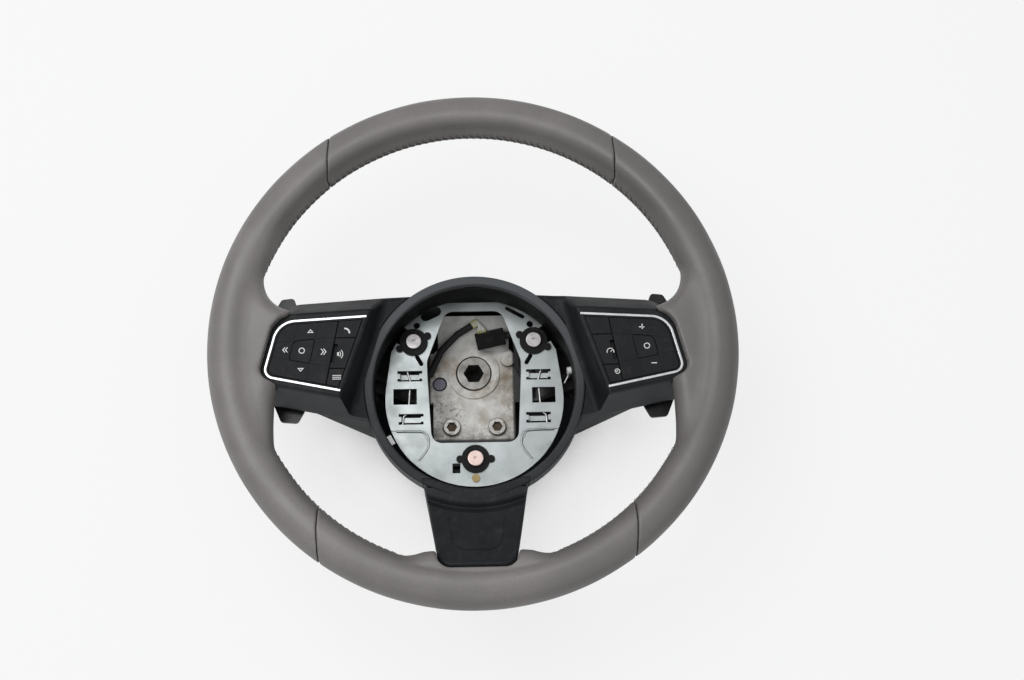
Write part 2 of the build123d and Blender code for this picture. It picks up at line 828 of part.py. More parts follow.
# Switch pack: housing, board, mat, keys, rocker pad and centre button
divider_top = Vector(between(pack_top_inner.X, pack_top_outer.X, divider_top_share), pack_top_outer_y)
divider_bottom = Vector(
    between(pack_bottom_inner.X, pack_bottom_outer.X, divider_bottom_share), pack_bottom_inner_y
)
pack_inner_x = reach_on(pack_top_inner, pack_bottom_inner, centre_y)
pack_outer_x = reach_on(pack_top_outer, pack_bottom_outer, centre_y)
centre_x = between(pack_inner_x, pack_outer_x, centre_share)
pad_width = pack_outer_x - reach_on(divider_top, divider_bottom, centre_y)
gimbal_outer_radius = gimbal_share * pad_width
gimbal_inner_radius = gimbal_outer_radius - gimbal_width
centre_stem_radius = gimbal_inner_radius - stem_clearance
key_area = key_field & half_plane(divider_bottom, divider_top, key_gap / 2)
pad_area = key_field & half_plane(divider_top, divider_bottom, key_gap / 2)
upper_split = (Vector(0, key_split_upper_y), Vector(rim_radius, key_split_upper_y))
lower_split = (Vector(0, key_split_lower_y), Vector(rim_radius, key_split_lower_y))
key_plans = {
    "upper": key_area & half_plane(*upper_split, key_gap / 2),
    "middle": key_area
    & half_plane(upper_split[1], upper_split[0], key_gap / 2)
    & half_plane(*lower_split, key_gap / 2),
    "lower": key_area & half_plane(lower_split[1], lower_split[0], key_gap / 2),
}


# Right housing with its pivot posts
def pivot_posts(growth, low, high):
    """Upright posts either side of the centre button that hold the rocker pivots."""
    posts = []
    reach = gimbal_outer_radius + key_gap + pivot_post / 2
    for side in (-1, 1):
        block = Rectangle(pivot_post + 2 * growth, 2 * pivot_post + 2 * growth)
        posts.append(prism(Pos(centre_x + side * reach, centre_y) * block, low, high))
    return posts[0] + posts[1]


post_top = pivot_height + pivot_post / 2
pivot_line = rod(
    (centre_x - 2 * gimbal_outer_radius, centre_y, pivot_height),
    (centre_x + 2 * gimbal_outer_radius, centre_y, pivot_height),
    pivot_radius + pivot_fit,
)
tray = prism(pack_outline(housing_rim), housing_bottom, front - bezel_wall)
tray -= prism(pack_outline(housing_rim - housing_wall), board_bottom, front)
tray -= slope_cut(bezel_wall + part_gap)
tray += pivot_posts(0, board_bottom, post_top) - pivot_line
tray -= rod((lead_entry_x, lead_entry_y, 0), (lead_entry_x, lead_entry_y, board_bottom), lead_radius)
save("right_switch_housing", tray)
save("left_switch_housing", left_of(tray))

board = prism(pack_outline(housing_rim - housing_wall - part_gap), board_bottom, mat_bottom)
board -= pivot_posts(part_gap, 0, front)
save("right_switch_board", board)
save("left_switch_board", left_of(board))

mat = prism(pack_outline(housing_rim - housing_wall - 2 * part_gap), mat_bottom, mat_top)
mat -= pivot_posts(part_gap, 0, front)
save("right_key_mat", mat)
save("left_key_mat", left_of(mat))


def soften(shape, radius):
    """Round the upper edge of a moulded cap."""
    return fillet(shape.faces().sort_by(Axis.Z)[-1].edges(), radius)


# The middle key has a finger slot beside the pad
split_middle_y = (key_split_upper_y + key_split_lower_y) / 2
slot_place = Pos(reach_on(divider_top, divider_bottom, split_middle_y), split_middle_y)
slot_lean = math.degrees(math.atan2(divider_bottom.X - divider_top.X, divider_top.Y - divider_bottom.Y))
key_slot = slot_place * Rot(0, 0, slot_lean) * Rectangle(2 * key_slot_width, key_slot_length)
key_slot = prism(key_slot, key_top - key_slot_depth, front + grip_depth)

for place, plan in key_plans.items():
    cap = soften(prism(plan, key_bottom, key_top), key_edge)
    if place == "middle":
        cap -= key_slot
    middle = plan.center()
    cap += disc(middle.X, middle.Y, plunger_bottom, key_bottom, key_plunger_radius)
    save(f"right_{place}_key", cap)
    save(f"left_{place}_key", left_of(cap))


centre_corners = [Vector(centre_x + x * pad_width, centre_y + y * pad_width) for x, y in centre_corner_shares]


def centre_plan(growth):
    """Plan of the button in the middle of the rocker pad."""
    outline = FilletPolyline(*centre_corners, radius=centre_rounds, close=True)
    return offset(make_face(outline), growth, kind=Kind.INTERSECTION)


pad = soften(prism(pad_area, key_bottom, key_top), key_edge)
pad -= prism(offset(pad_area, -pad_skirt, kind=Kind.INTERSECTION), key_bottom, key_top - pad_skin)
pad -= prism(centre_plan(key_gap), key_bottom, key_top)


def zone_groove(first, second):
    """A faint groove across the pad through two corners of the centre button."""
    reach = (second - first) * (pad_width / (second - first).length)
    line = trace(Line(first - reach, second + reach), line_width=zone_groove_width)
    return prism(line, key_top - zone_groove_depth, key_top + key_proud)


top_left, top_right, bottom_right, bottom_left = centre_corners
pad -= zone_groove(top_left, top_right) + zone_groove(bottom_left, bottom_right)
pad -= zone_groove(top_left, bottom_left) + zone_groove(top_right, bottom_right)
pad_under = key_top - pad_skin
lug_reach = gimbal_outer_radius + key_gap + pivot_post / 2

# The right pad rocks on its own two pins
right_pad = pad
inner_reach = (gimbal_inner_radius + gimbal_outer_radius) / 2
for side in (-1, 1):
    lug = Pos(centre_x + side * inner_reach, centre_y) * Rectangle(gimbal_width, 2 * pivot_post)
    right_pad += prism(lug, pivot_height - pivot_post / 2, pad_under)
    right_pad += rod(
        (centre_x + side * inner_reach, centre_y, pivot_height),
        (centre_x + side * (lug_reach + pivot_post / 3), centre_y, pivot_height),
        pivot_radius,
    )
save("right_rocker_pad", right_pad)

# The left pad tilts both ways on a gimbal ring
left_pad = pad
gimbal = disc(centre_x, centre_y, 0, gimbal_thickness, gimbal_outer_radius)
gimbal -= disc(centre_x, centre_y, 0, gimbal_thickness, gimbal_inner_radius)
gimbal = Pos(0, 0, pivot_height - gimbal_thickness / 2) * gimbal
cross_line = rod(
    (centre_x, centre_y - 2 * gimbal_outer_radius, pivot_height),
    (centre_x, centre_y + 2 * gimbal_outer_radius, pivot_height),
    pivot_radius + pivot_fit,
)
pin_start = gimbal_outer_radius - key_gap
pin_end = lug_reach + pivot_post / 3
for side in (-1, 1):
    lug = prism(
        Pos(centre_x, centre_y + side * lug_reach) * Rectangle(2 * pivot_post, pivot_post),
        pivot_height - pivot_post / 2,
        pad_under,
    )
    left_pad += lug - cross_line
    gimbal += rod(
        (centre_x + side * pin_start, centre_y, pivot_height),
        (centre_x + side * pin_end, centre_y, pivot_height),
        pivot_radius,
    )
    gimbal += rod(
        (centre_x, centre_y + side * pin_start, pivot_height),
        (centre_x, centre_y + side * pin_end, pivot_height),
        pivot_radius,
    )
save("left_rocker_pad", left_of(left_pad))
save("left_rocker_gimbal", left_of(gimbal))

centre_cap_bottom = pad_under + key_travel + 2 * key_spare
centre_button = soften(prism(centre_plan(0), centre_cap_bottom, key_top), key_edge)
centre_button += disc(centre_x, centre_y, plunger_bottom, centre_cap_bottom, centre_stem_radius)
save("right_centre_button", centre_button)
save("left_centre_button", left_of(centre_button))

# Spoke backs with the lugs for the paddles
arm_slope = (arm_shoulder_height - arm_foot_height) / (arm_shoulder - arm_knee)


def back_block(shrink, top):
    """The room behind a spoke, shrunk by a wall on its floor and its slope."""
    low = back_bottom + shrink
    foot = back_foot + shrink
    slope_shift = shrink * math.hypot(1, arm_slope) / arm_slope
    knee_x = back_slope_x - slope_shift + shrink / arm_slope
    foot_x = knee_x - (low - foot) / arm_slope
    outline = Polygon(
        (rim_radius, top),
        (bezel_root_x, top),
        (bezel_root_x, foot),
        (foot_x, foot),
        (knee_x, low),
        (rim_radius, low),
        align=None,
    )
    block = extrude(Plane.XZ * outline, amount=rim_diameter, both=True)
    plan = spoke_outline(bezel_top_flare_rear, bezel_rear_flare, bezel_border - shrink)
    return block & prism(plan, back_foot, front)


spoke_back = back_block(0, spoke_rear)
back_edges = spoke_back.edges().filter_by(
    lambda edge: edge.center().Z < spoke_rear - back_round and edge.center().X > bezel_root_x + back_round
)
spoke_back = fillet(back_edges, back_round) - back_block(back_wall, front)
spoke_back -= rear_envelope(part_gap)
spoke_back -= well_cylinder(shroud_radius + part_gap) & prism(Circle(rim_diameter), shroud_base, front)
lug_near = paddle_barrel_half + paddle_side_gap
lug_far = lug_near + paddle_lug
ear_plan = Rectangle(2 * paddle_barrel_radius, paddle_lug)
for side in (-1, 1):
    ear = prism(Pos(paddle_pivot_x, side * (lug_near + lug_far) / 2) * ear_plan, paddle_height, back_bottom)
    ear += rod(
        (paddle_pivot_x, side * lug_near, paddle_height),
        (paddle_pivot_x, side * lug_far, paddle_height),
        paddle_barrel_radius,
    )
    spoke_back += ear
pin_bore = rod(
    (paddle_pivot_x, -lug_far, paddle_height), (paddle_pivot_x, lug_far, paddle_height), paddle_pin_radius
)
spoke_back -= pin_bore
save("right_spoke_back", spoke_back)
save("left_spoke_back", left_of(spoke_back))
save("right_paddle_pin", pin_bore)
save("left_paddle_pin", left_of(pin_bore))

# Shift paddles behind the spokes
paddle_outer_x = inner_radius - paddle_outer_inset
paddle_root_half = paddle_barrel_half - paddle_root_step
paddle_neck_half = paddle_barrel_half + paddle_neck_flare
paddle_plan = Polygon(
    (paddle_pivot_x, paddle_root_half),
    (paddle_pivot_x + paddle_neck, paddle_neck_half),
    *[(paddle_outer_x - inset, paddle_top_y - drop) for inset, drop in paddle_upper_tip],
    *[(paddle_outer_x - inset, paddle_bottom_y + rise) for inset, rise in paddle_lower_tip],
    (paddle_pivot_x + paddle_neck, -paddle_neck_half),
    (paddle_pivot_x, -paddle_root_half),
    align=None,
)
paddle_corners = paddle_plan.vertices().filter_by(lambda v: v.X > paddle_pivot_x + paddle_root_step)
paddle_plan = fillet(paddle_corners, paddle_thickness)
blade = prism(paddle_plan, paddle_height - paddle_thickness / 2, paddle_height + paddle_thickness / 2)
paddle = blade + rod(
    (paddle_pivot_x, -paddle_barrel_half, paddle_height),
    (paddle_pivot_x, paddle_barrel_half, paddle_height),
    paddle_barrel_radius,
)
paddle -= rod(
    (paddle_pivot_x, -lug_far, paddle_height),
    (paddle_pivot_x, lug_far, paddle_height),
    paddle_pin_radius + paddle_fit,
)
save("right_paddle", paddle)
save("left_paddle", left_of(paddle))

# Lower spoke cover: a stretch of the lip, a groove and a panel that climbs to the rim
lip_end_y = well_centre_y - shroud_radius
lip_end_height = lip_height - shroud_radius * math.tan(math.radians(lip_tilt))
panel_start_y = lip_end_y - cover_groove_width
panel_end_y = cover_end_y - cover_end_overlap


def cover_block(drop):
    """The panel of the lower spoke, lowered by a wall."""
    outline = Polygon(
        (lip_end_y + lip_width, lip_end_height - drop),
        (lip_end_y - cover_wall / 2, lip_end_height - drop),
        (lip_end_y - cover_groove_width / 2, lip_end_height - cover_groove - drop),
        (panel_start_y, lip_end_height + cover_panel_start - drop),
        (panel_end_y, rim_height + cover_rise - drop),
        (panel_end_y, cover_side_end - drop),
        (lip_end_y + lip_width, cover_side_start - drop),
        align=None,
    )
    return extrude(Plane.YZ * outline, amount=rim_diameter, both=True)


cover = cover_block(0) & prism(cover_plan(0), 0, front + grip_depth)
cover -= well_cylinder(shroud_radius - shroud_wall)
cover_panel = cover.faces().filter_by(lambda face: face.normal_at().Z > 0).sort_by(SortBy.AREA)[-1]
cover = fillet(cover_panel.edges(), cover_round)
cover -= cover_block(cover_wall) & prism(cover_plan(-cover_wall), 0, front + grip_depth)
cover += lip_ring & prism(cover_plan(0), cover_side_start, front)
panel_run = panel_start_y - cover_line
emboss_start_y = panel_start_y - emboss_start_share * panel_run
groove_path = FilletPolyline(
    (-emboss_half_width_top, emboss_start_y),
    (-emboss_half_width_bottom, cover_line + cover_wall),
    (emboss_half_width_bottom, cover_line + cover_wall),
    (emboss_half_width_top, emboss_start_y),
    radius=emboss_round_share * panel_run,
)
emboss_cut = cover_block(-emboss_depth) - cover_block(emboss_depth)
emboss_cut &= prism(trace(groove_path, line_width=emboss_line), 0, front + grip_depth)
cover -= emboss_cut
arm_notch = Pos(0, panel_end_y) * Rectangle(2 * arm_notch_half, grip_width)
cover -= cover_block(cover_wall) & prism(arm_notch, 0, front)
save("lower_spoke_cover", cover)

# Back of the lower spoke
lower_slope = (lower_arm_shoulder_height - arm_foot_height) / (lower_arm_shoulder - lower_arm_knee)


def lower_back_block(shrink, lift):
    """The room behind the lower spoke, shrunk by a wall and open by a lift at its top."""
    slope_shift = shrink * math.hypot(1, lower_slope) / lower_slope
    knee_reach = lower_arm_shoulder + lower_back_gap
    side_share = (knee_reach + lip_end_y + lip_width) / (lip_end_y + lip_width - panel_end_y)
    side_height = between(cover_side_start, cover_side_end, side_share)
    knee_y = knee_reach - slope_shift
    knee_height = side_height - lower_back_knee + shrink
    foot = back_foot + shrink
    outline = Polygon(
        (-panel_end_y, cover_side_end + lift),
        (-panel_end_y, cover_side_end - back_depth + shrink),
        (knee_y, knee_height),
        (knee_y - (knee_height - foot) / lower_slope, foot),
        (bezel_root_x, foot),
        (bezel_root_x, cover_side_start + lift),
        (-lip_end_y - lip_width, cover_side_start + lift),
        align=None,
    )
    return turn_down(extrude(Plane.XZ * outline, amount=rim_diameter, both=True))


lower_back = lower_back_block(0, 0) & prism(cover_plan(0), back_foot, front)
hollow_plan = cover_plan(-back_wall) + Pos(0, 4 * back_wall) * cover_plan(-back_wall)
lower_back -= lower_back_block(back_wall, grip_depth) & prism(hollow_plan, back_foot, front)
lower_back -= rear_envelope(part_gap)
lower_back -= well_cylinder(shroud_radius + part_gap) & prism(Circle(rim_diameter), shroud_base, front)
save("lower_spoke_back", lower_back)

# Horn plate: a stamping with a large window, lanced bridges and a pressed field either side
def on_plate(place):
    """The point at an inset from the plate's side and a drop from its top edge."""
    inset, drop = place
    return (plate_radius - inset, plate_top_y - drop)


def on_plate_arc(angle):
    """A point on the round lower edge of the plate."""
    turn = math.radians(angle)
    return (plate_radius * math.cos(turn), plate_arc_centre_y + plate_radius * math.sin(turn))


half_plate = make_face(
    [
        Line((0, plate_low_y), (0, plate_top_y)),
        Line((0, plate_top_y), (plate_top_half_width, plate_top_y)),
        ThreePointArc((plate_top_half_width, plate_top_y), on_plate(plate_crown), on_plate(plate_shoulder)),
        Line(on_plate(plate_shoulder), on_plate(plate_hip)),
        Line(on_plate(plate_hip), on_plate_arc(plate_flank_angle)),
        ThreePointArc(on_plate_arc(plate_flank_angle), on_plate_arc(-45), on_plate_arc(-90)),
    ]
)
plate_plan = half_plate + left_of(half_plate)
window_corners = [window_top, window_waist_upper, window_waist_lower, window_bottom]
window_right = [on_plate(corner) for corner in window_corners]
window_left = [(-x, y) for x, y in reversed(window_right)]
window = make_face(
    FilletPolyline(*window_right, *window_left, radius=window_rounds + window_rounds[::-1], close=True)
)
plate_plan -= window
for x, y in towers:
    plate_plan -= Pos(x, y) * Circle(collar_body_radius)
rivet_place = (0, plate_low_y + rivet_rise)
plate_plan -= Pos(*rivet_place) * Circle(rivet_radius)
wide_slot = Pos(*on_plate(wide_slot_place)) * Rot(0, 0, -wide_slot_angle) * SlotOverall(*wide_slot_size)
plate_plan -= left_of(wide_slot)
plate_plan -= Pos(*on_plate(thin_slot_place)) * Rot(0, 0, thin_slot_angle) * SlotOverall(*thin_slot_size)
plate_plan -= Pos(square_hole_x, plate_low_y + square_hole_rise) * Rectangle(*square_hole_size)

side_cuts = Pos(bolt_x, bolt_y) * Rot(0, 0, bolt_notch_angle) * Rectangle(
    plate_radius, bolt_notch_width, align=(Align.MIN, Align.CENTER)
)
side_cuts += Pos(*on_plate(tooling_hole_place)) * Circle(tooling_hole_radius)
side_cuts += Pos(*on_plate(waist_slot_place)) * Rot(0, 0, waist_slot_angle) * SlotOverall(*waist_slot_size)
side_cuts += Pos(*on_plate(side_window_place)) * Rectangle(*side_window_size)
for place in bridge_places:
    side_cuts += Pos(*on_plate(place)) * Rectangle(*bridge_size)
plate_plan -= side_cuts
plate_plan -= left_of(side_cuts)

pressed_field = make_face(Polyline(*[on_plate(corner) for corner in pressed_corners], close=True))
pressed_field = (pressed_field + left_of(pressed_field)) & plate_plan
horn_plate = prism(plate_plan, plate_height, plate_top)
horn_plate -= prism(pressed_field, plate_top - emboss_drop, plate_top)
horn_plate += prism(pressed_field, plate_height - emboss_drop, plate_height)

bridge_width = bridge_size[1] / 2
bridge_low = plate_height - bridge_drop
bridge_span = Rectangle(bridge_size[0], bridge_width)
for place in bridge_places:
    x, y = on_plate(place)
    strip = prism(Pos(x, y) * bridge_span, bridge_low, bridge_low + plate_thickness)
    for side in (-1, 1):
        leg = Rectangle(plate_thickness, bridge_width)
        strip += prism(Pos(x + side * (bridge_size[0] - plate_thickness) / 2, y) * leg, bridge_low, plate_top)
    horn_plate += strip
    horn_plate += left_of(strip)
save("horn_plate", horn_plate)

rivet = disc(*rivet_place, plate_height, plate_top, rivet_radius)
rivet += disc(*rivet_place, plate_top, plate_top + rivet_head_height, 2 * rivet_radius)
rivet += disc(*rivet_place, plate_height - rivet_head_height, plate_height, 2 * rivet_radius)
save("plate_rivet", rivet)

# Spring wires that lie across the bridges on the underside of the plate
retainer_height = plate_height - retainer_wire_radius - seat_gap
retainer_points = [(*on_plate(place), retainer_height) for place in retainer_route]
retainer_path = FilletPolyline(*retainer_points, radius=2 * retainer_wire_radius)
retainer = sweep_round(retainer_path, retainer_wire_radius)
save("right_retaining_wire", retainer)
save("left_retaining_wire", left_of(retainer))

# Shoulder bolts, the collars that guide the plate on them, and the springs below
bolt_seat = plate_top + collar_flange + seat_gap
collars = []
bolts = []
springs = []
for (x, y), ear_angle in zip(towers, collar_ear_angles):
    collar = disc(x, y, plate_height - collar_flange, plate_height, collar_lower_radius)
    collar += disc(x, y, plate_height, plate_top, collar_body_radius)
    collar += disc(x, y, plate_top, plate_top + collar_flange, collar_radius)
    for turn in (0, 180):
        ear = Pos(x, y) * Rot(0, 0, ear_angle + turn) * Pos(collar_ear_reach, 0) * Circle(collar_ear_radius)
        collar += prism(ear, plate_top, plate_top + collar_flange)
    collars.append(collar - disc(x, y, 0, front, bolt_radius + collar_fit))
    bolt = disc(x, y, bolt_seat, bolt_seat + bolt_head_height, bolt_head_radius)
    bolt = fillet(bolt.edges().sort_by(Axis.Z)[-1], bolt_head_height / 3)
    bolt -= disc(x, y, bolt_seat + bolt_head_height / 2, front, bolt_dimple_radius)
    bolts.append(bolt + disc(x, y, tower_height - bolt_engagement, bolt_seat, bolt_radius))
    spring_room = plate_height - collar_flange - tower_height - 2 * spring_wire_radius
    coil = Helix(pitch=spring_room / spring_turns, height=spring_room, radius=spring_radius)
    coil_section = Plane(origin=coil @ 0, z_dir=coil % 0) * Circle(spring_wire_radius)
    wire = sweep(coil_section, path=coil, is_frenet=True)
    springs.append(Pos(x, y, tower_height + spring_wire_radius) * wire)
save("horn_collars", *collars)
save("horn_bolts", *bolts)
save("horn_springs", *springs)

# Harness: connector on the ramp of the hub, a sleeved lead to each switch pack, loose wires
ramp_angle = math.atan2(ramp_rise, ramp_end_y - hub_top_y + ramp_lap)
ramp_plane = Plane(
    origin=(0, hub_top_y - ramp_lap, hub_face),
    x_dir=(1, 0, 0),
    z_dir=(0, -math.sin(ramp_angle), math.cos(ramp_angle)),
)
connector_seat = ramp_plane.location * Pos(connector_x, connector_up, seat_gap) * Rot(0, 0, connector_turn)
connector = prism(Rectangle(connector_length, connector_width), 0, connector_height)
connector = fillet(connector.edges().filter_by(Axis.Z), wire_radius)
latch = Pos(0, 0, connector_height) * Box(connector_length / 3, connector_width / 2, 2 * wire_radius)
save("harness_connector", connector_seat * (connector + latch))


def lead(*points):
    """A sleeved cable along straight runs joined by arcs."""
    return sweep_round(FilletPolyline(*points, radius=lead_bend), lead_radius)


def on_connector(along, across, up):
    """A point given from the middle of the connector's foot."""
    return (connector_seat * Pos(along, across, up)).position


lead_start_x = arm_knee + lead_arm_start
arm_run = [
    Vector(lead_start_x, lead_entry_y, lead_foot_height),
    Vector(lead_lift_x, lead_entry_y, lead_foot_height + (lead_lift_x - lead_start_x) * arm_slope),
    Vector(lead_entry_x, lead_entry_y, spoke_rear),
    Vector(lead_entry_x, lead_entry_y, board_bottom),
]
socket = on_connector(connector_length / 2, 0, connector_height / 2)
socket_exit = on_connector(connector_length / 2 + 2 * lead_bend, 0, connector_height / 2)
save("right_lead", lead(socket, socket_exit, *right_lead_points, *arm_run))
left_run = [Vector(-point.X, point.Y, point.Z) for point in arm_run]
save("left_lead", lead(*left_lead_points, *left_run))

sleeve_end = Vector(*left_lead_points[0])
sleeve_way = (sleeve_end - Vector(*left_lead_points[1])).normalized()
sleeve_side = sleeve_way.cross(Vector(0, 0, 1)).normalized()
loose_wires = []
for index in range(wire_count):
    start = sleeve_end - sleeve_side * ((index - (wire_count - 1) / 2) * 2 * lead_radius / wire_count)
    along = wire_pitch * index + 2 * wire_pitch - connector_length / 2
    finish = on_connector(along, connector_width / 2, connector_height / 2)
    approach = on_connector(along, connector_width / 2 + wire_pitch, connector_height / 2)
    leave = start + sleeve_way * 3 * wire_pitch
    route = FilletPolyline(start, leave, approach, finish, radius=1.5 * wire_radius)
    loose_wires.append(sweep_round(route, wire_radius))
save("harness_wires", *loose_wires)


# Small white fittings on the wall of the well
def on_wall(angle, radius, height):
    """A place on the wall of the well, facing the middle."""
    facing = math.radians(angle)
    return Plane(
        origin=(radius * math.cos(facing), well_centre_y + radius * math.sin(facing), height),
        x_dir=(-math.sin(facing), math.cos(facing), 0),
        z_dir=(-math.cos(facing), -math.sin(facing), 0),
    )


plug_plane = on_wall(plug_angle, shroud_inner_radius, plug_height)
plug_plan = Circle(plug_radius) + Polygon((-plug_radius, 0), (plug_radius, 0), (0, plug_tail), align=None)
plug = extrude(plug_plane * plug_plan, amount=plug_thickness) & well_cylinder(shroud_inner_radius)
save("contact_plug", plug)
tail_end = (plug_plane.location * Pos(0, plug_tail, plug_thickness / 2)).position
contact_points = [
    (shroud_inner_radius - inset, well_centre_y + rise, height) for inset, rise, height in contact_wire_route
]
contact_route = FilletPolyline(tail_end, *contact_points, radius=2 * contact_wire_radius)
save("contact_wire", sweep_round(contact_route, contact_wire_radius))
clip_plane = on_wall(edge_clip_angle, shroud_inner_radius, plug_height)
edge_clip = extrude(clip_plane * Rectangle(*edge_clip_size), amount=edge_clip_reach)
save("edge_clip", edge_clip & well_cylinder(shroud_inner_radius))
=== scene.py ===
import bmesh
import bpy
import json
import math
from mathutils import Matrix, Vector, noise

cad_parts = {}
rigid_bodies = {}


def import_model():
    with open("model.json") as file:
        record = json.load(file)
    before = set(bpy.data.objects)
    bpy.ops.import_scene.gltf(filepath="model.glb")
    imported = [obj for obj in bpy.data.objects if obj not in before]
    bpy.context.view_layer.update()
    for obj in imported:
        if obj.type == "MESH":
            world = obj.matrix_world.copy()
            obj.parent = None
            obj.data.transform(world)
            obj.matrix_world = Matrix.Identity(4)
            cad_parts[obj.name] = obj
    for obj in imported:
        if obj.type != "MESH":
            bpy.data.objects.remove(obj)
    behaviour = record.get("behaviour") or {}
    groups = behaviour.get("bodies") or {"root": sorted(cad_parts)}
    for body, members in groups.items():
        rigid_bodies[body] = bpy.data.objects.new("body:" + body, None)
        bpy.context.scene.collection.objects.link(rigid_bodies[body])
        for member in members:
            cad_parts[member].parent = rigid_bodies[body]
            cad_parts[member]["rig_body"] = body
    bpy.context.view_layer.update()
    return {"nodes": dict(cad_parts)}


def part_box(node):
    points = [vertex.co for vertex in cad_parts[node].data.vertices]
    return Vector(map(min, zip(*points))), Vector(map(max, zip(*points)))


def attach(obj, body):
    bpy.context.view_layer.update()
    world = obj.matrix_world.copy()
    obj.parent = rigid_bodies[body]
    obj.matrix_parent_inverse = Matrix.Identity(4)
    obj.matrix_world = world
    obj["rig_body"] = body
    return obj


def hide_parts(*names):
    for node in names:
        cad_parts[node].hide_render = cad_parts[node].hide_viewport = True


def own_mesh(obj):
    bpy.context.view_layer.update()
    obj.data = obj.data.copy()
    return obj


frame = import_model()
mm = 0.001


# Table, daylight and camera
# A white table top in an evenly lit room, under a broad soft light from the upper left. The table
# is painted dark under the hub, a painted shadow. The camera stands where the photograph was taken.
table_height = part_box("rear_cover")[0].z
table_half = 40.0
table_white = (0.9, 0.9, 0.895)
table_seen = (0.955, 0.955, 0.957)
table_shadow_paint = (0.02, 0.02, 0.02)
hub_shade = (100 * mm, 32 * mm)
open_reach = 110 * mm
sky_color = (0.97, 0.985, 1.0, 1)
sky_level = 0.14
sky_rise = 0.6
ceiling_place = Vector((-0.65, 0.3, 1.6))
ceiling_aim = Vector((0, 0, 0.05))
ceiling_width = 1.4
ceiling_depth = 1.1
ceiling_watts = 15.0
rim_height = 86 * mm
rim_in_view = (-0.0267, -0.0018, -1.0602)
camera_turn, camera_tilt, camera_roll = (math.radians(angle) for angle in (7.0, 16.1, -5.87))
sensor_width = 36.0
focal_pixels = 1500
picture_pixels = 1024


def stand(name, data):
    """Puts a mesh, lamp, camera or curve into the scene."""
    made = bpy.data.objects.new(name, data)
    bpy.context.scene.collection.objects.link(made)
    return made


def keep(name, mesh):
    """Turns a finished bmesh into an object at the origin."""
    data = bpy.data.meshes.new(name)
    mesh.to_mesh(data)
    mesh.free()
    return stand(name, data)


def finish(name, color, roughness, metallic=0.0):
    """A new material with its plain values on the shader itself."""
    made = bpy.data.materials.new(name)
    made.use_nodes = True
    shader = made.node_tree.nodes["Principled BSDF"]
    shader.inputs["Base Color"].default_value = (*color, 1)
    shader.inputs["Roughness"].default_value = roughness
    shader.inputs["Metallic"].default_value = metallic
    return made, made.node_tree, shader


def add(tree, kind, settings=None, **sources):
    """Adds a shader node, sets its sockets and links what feeds it."""
    node = tree.nodes.new("ShaderNode" + kind)
    for socket, value in (settings or {}).items():
        node.inputs[socket].default_value = value
    for socket, source in sources.items():
        tree.links.new(source, node.inputs[socket])
    return node


def place_of(tree):
    """The object's own coordinates."""
    return add(tree, "TexCoord").outputs["Object"]


def work_out(tree, operation, *sources, kind="Math"):
    """A sum on links and plain values."""
    node = add(tree, kind)
    node.operation = operation
    for socket, source in zip(node.inputs, sources):
        if isinstance(source, bpy.types.NodeSocket):
            tree.links.new(source, socket)
        else:
            socket.default_value = source
    return node


def ramp(tree, value, low, high, start=0.0, end=1.0):
    """A soft step from start to end as the value goes from low to high."""
    settings = {"From Min": low, "From Max": high, "To Min": start, "To Max": end}
    node = add(tree, "MapRange", settings, Value=value)
    node.interpolation_type = "SMOOTHSTEP"
    return node.outputs["Result"]


def times(tree, first, second):
    """The product of two masks, or of a mask and a share."""
    return work_out(tree, "MULTIPLY", first, second).outputs["Value"]


def tint(tree, mask, first, second):
    """A colour that goes from first to second with a mask."""
    node = add(tree, "Mix")
    node.data_type = "RGBA"
    tree.links.new(mask, node.inputs[0])
    for socket, color in ((node.inputs[6], first), (node.inputs[7], second)):
        if isinstance(color, tuple):
            socket.default_value = (*color, 1)
        else:
            tree.links.new(color, socket)
    return node.outputs[2]


mesh = bmesh.new()
bmesh.ops.create_grid(mesh, x_segments=1, y_segments=1, size=table_half)
bmesh.ops.translate(mesh, vec=(0, 0, table_height), verts=mesh.verts)
table = keep("table", mesh)

table_paint, tree, shader = finish("white_table", table_white, 0.7)
shrink = (1 / hub_shade[0], 1 / hub_shade[1], 0)
shrunk = work_out(tree, "MULTIPLY", place_of(tree), shrink, kind="VectorMath").outputs["Vector"]
reach = work_out(tree, "LENGTH", shrunk, kind="VectorMath").outputs["Value"]
# Painted shadow: the table is painted dark in a soft ellipse under the hub.
painted_hub_shadow = ramp(tree, reach, 1.15, 0.85)
tree.links.new(tint(tree, painted_hub_shadow, table_white, table_shadow_paint), shader.inputs["Base Color"])
over_bright = add(tree, "Emission", Color=tint(tree, painted_hub_shadow, table_seen, table_shadow_paint))
open_table = add(tree, "AmbientOcclusion", {"Distance": open_reach})
open_table.samples = 8
seen_level = ramp(tree, open_table.outputs["AO"], 0.3, 0.6, 0.0, 0.82)
seen_share = times(tree, add(tree, "LightPath").outputs["Is Camera Ray"], seen_level)
table_mix = add(tree, "MixShader", Fac=seen_share)
tree.links.new(shader.outputs[0], table_mix.inputs[1])
tree.links.new(over_bright.outputs[0], table_mix.inputs[2])
tree.links.new(table_mix.outputs[0], tree.nodes["Material Output"].inputs["Surface"])
table.data.materials.append(table_paint)

room = bpy.data.worlds.new("room")
room.use_nodes = True
tree = room.node_tree
way_up = add(tree, "SeparateXYZ", Vector=add(tree, "TexCoord").outputs["Generated"]).outputs["Z"]
sky_strength = work_out(tree, "MULTIPLY_ADD", way_up, sky_rise, sky_level).outputs["Value"]
tree.nodes["Background"].inputs["Color"].default_value = sky_color
tree.links.new(sky_strength, tree.nodes["Background"].inputs["Strength"])
bpy.context.scene.world = room
bpy.context.scene.view_settings.view_transform = "Standard"

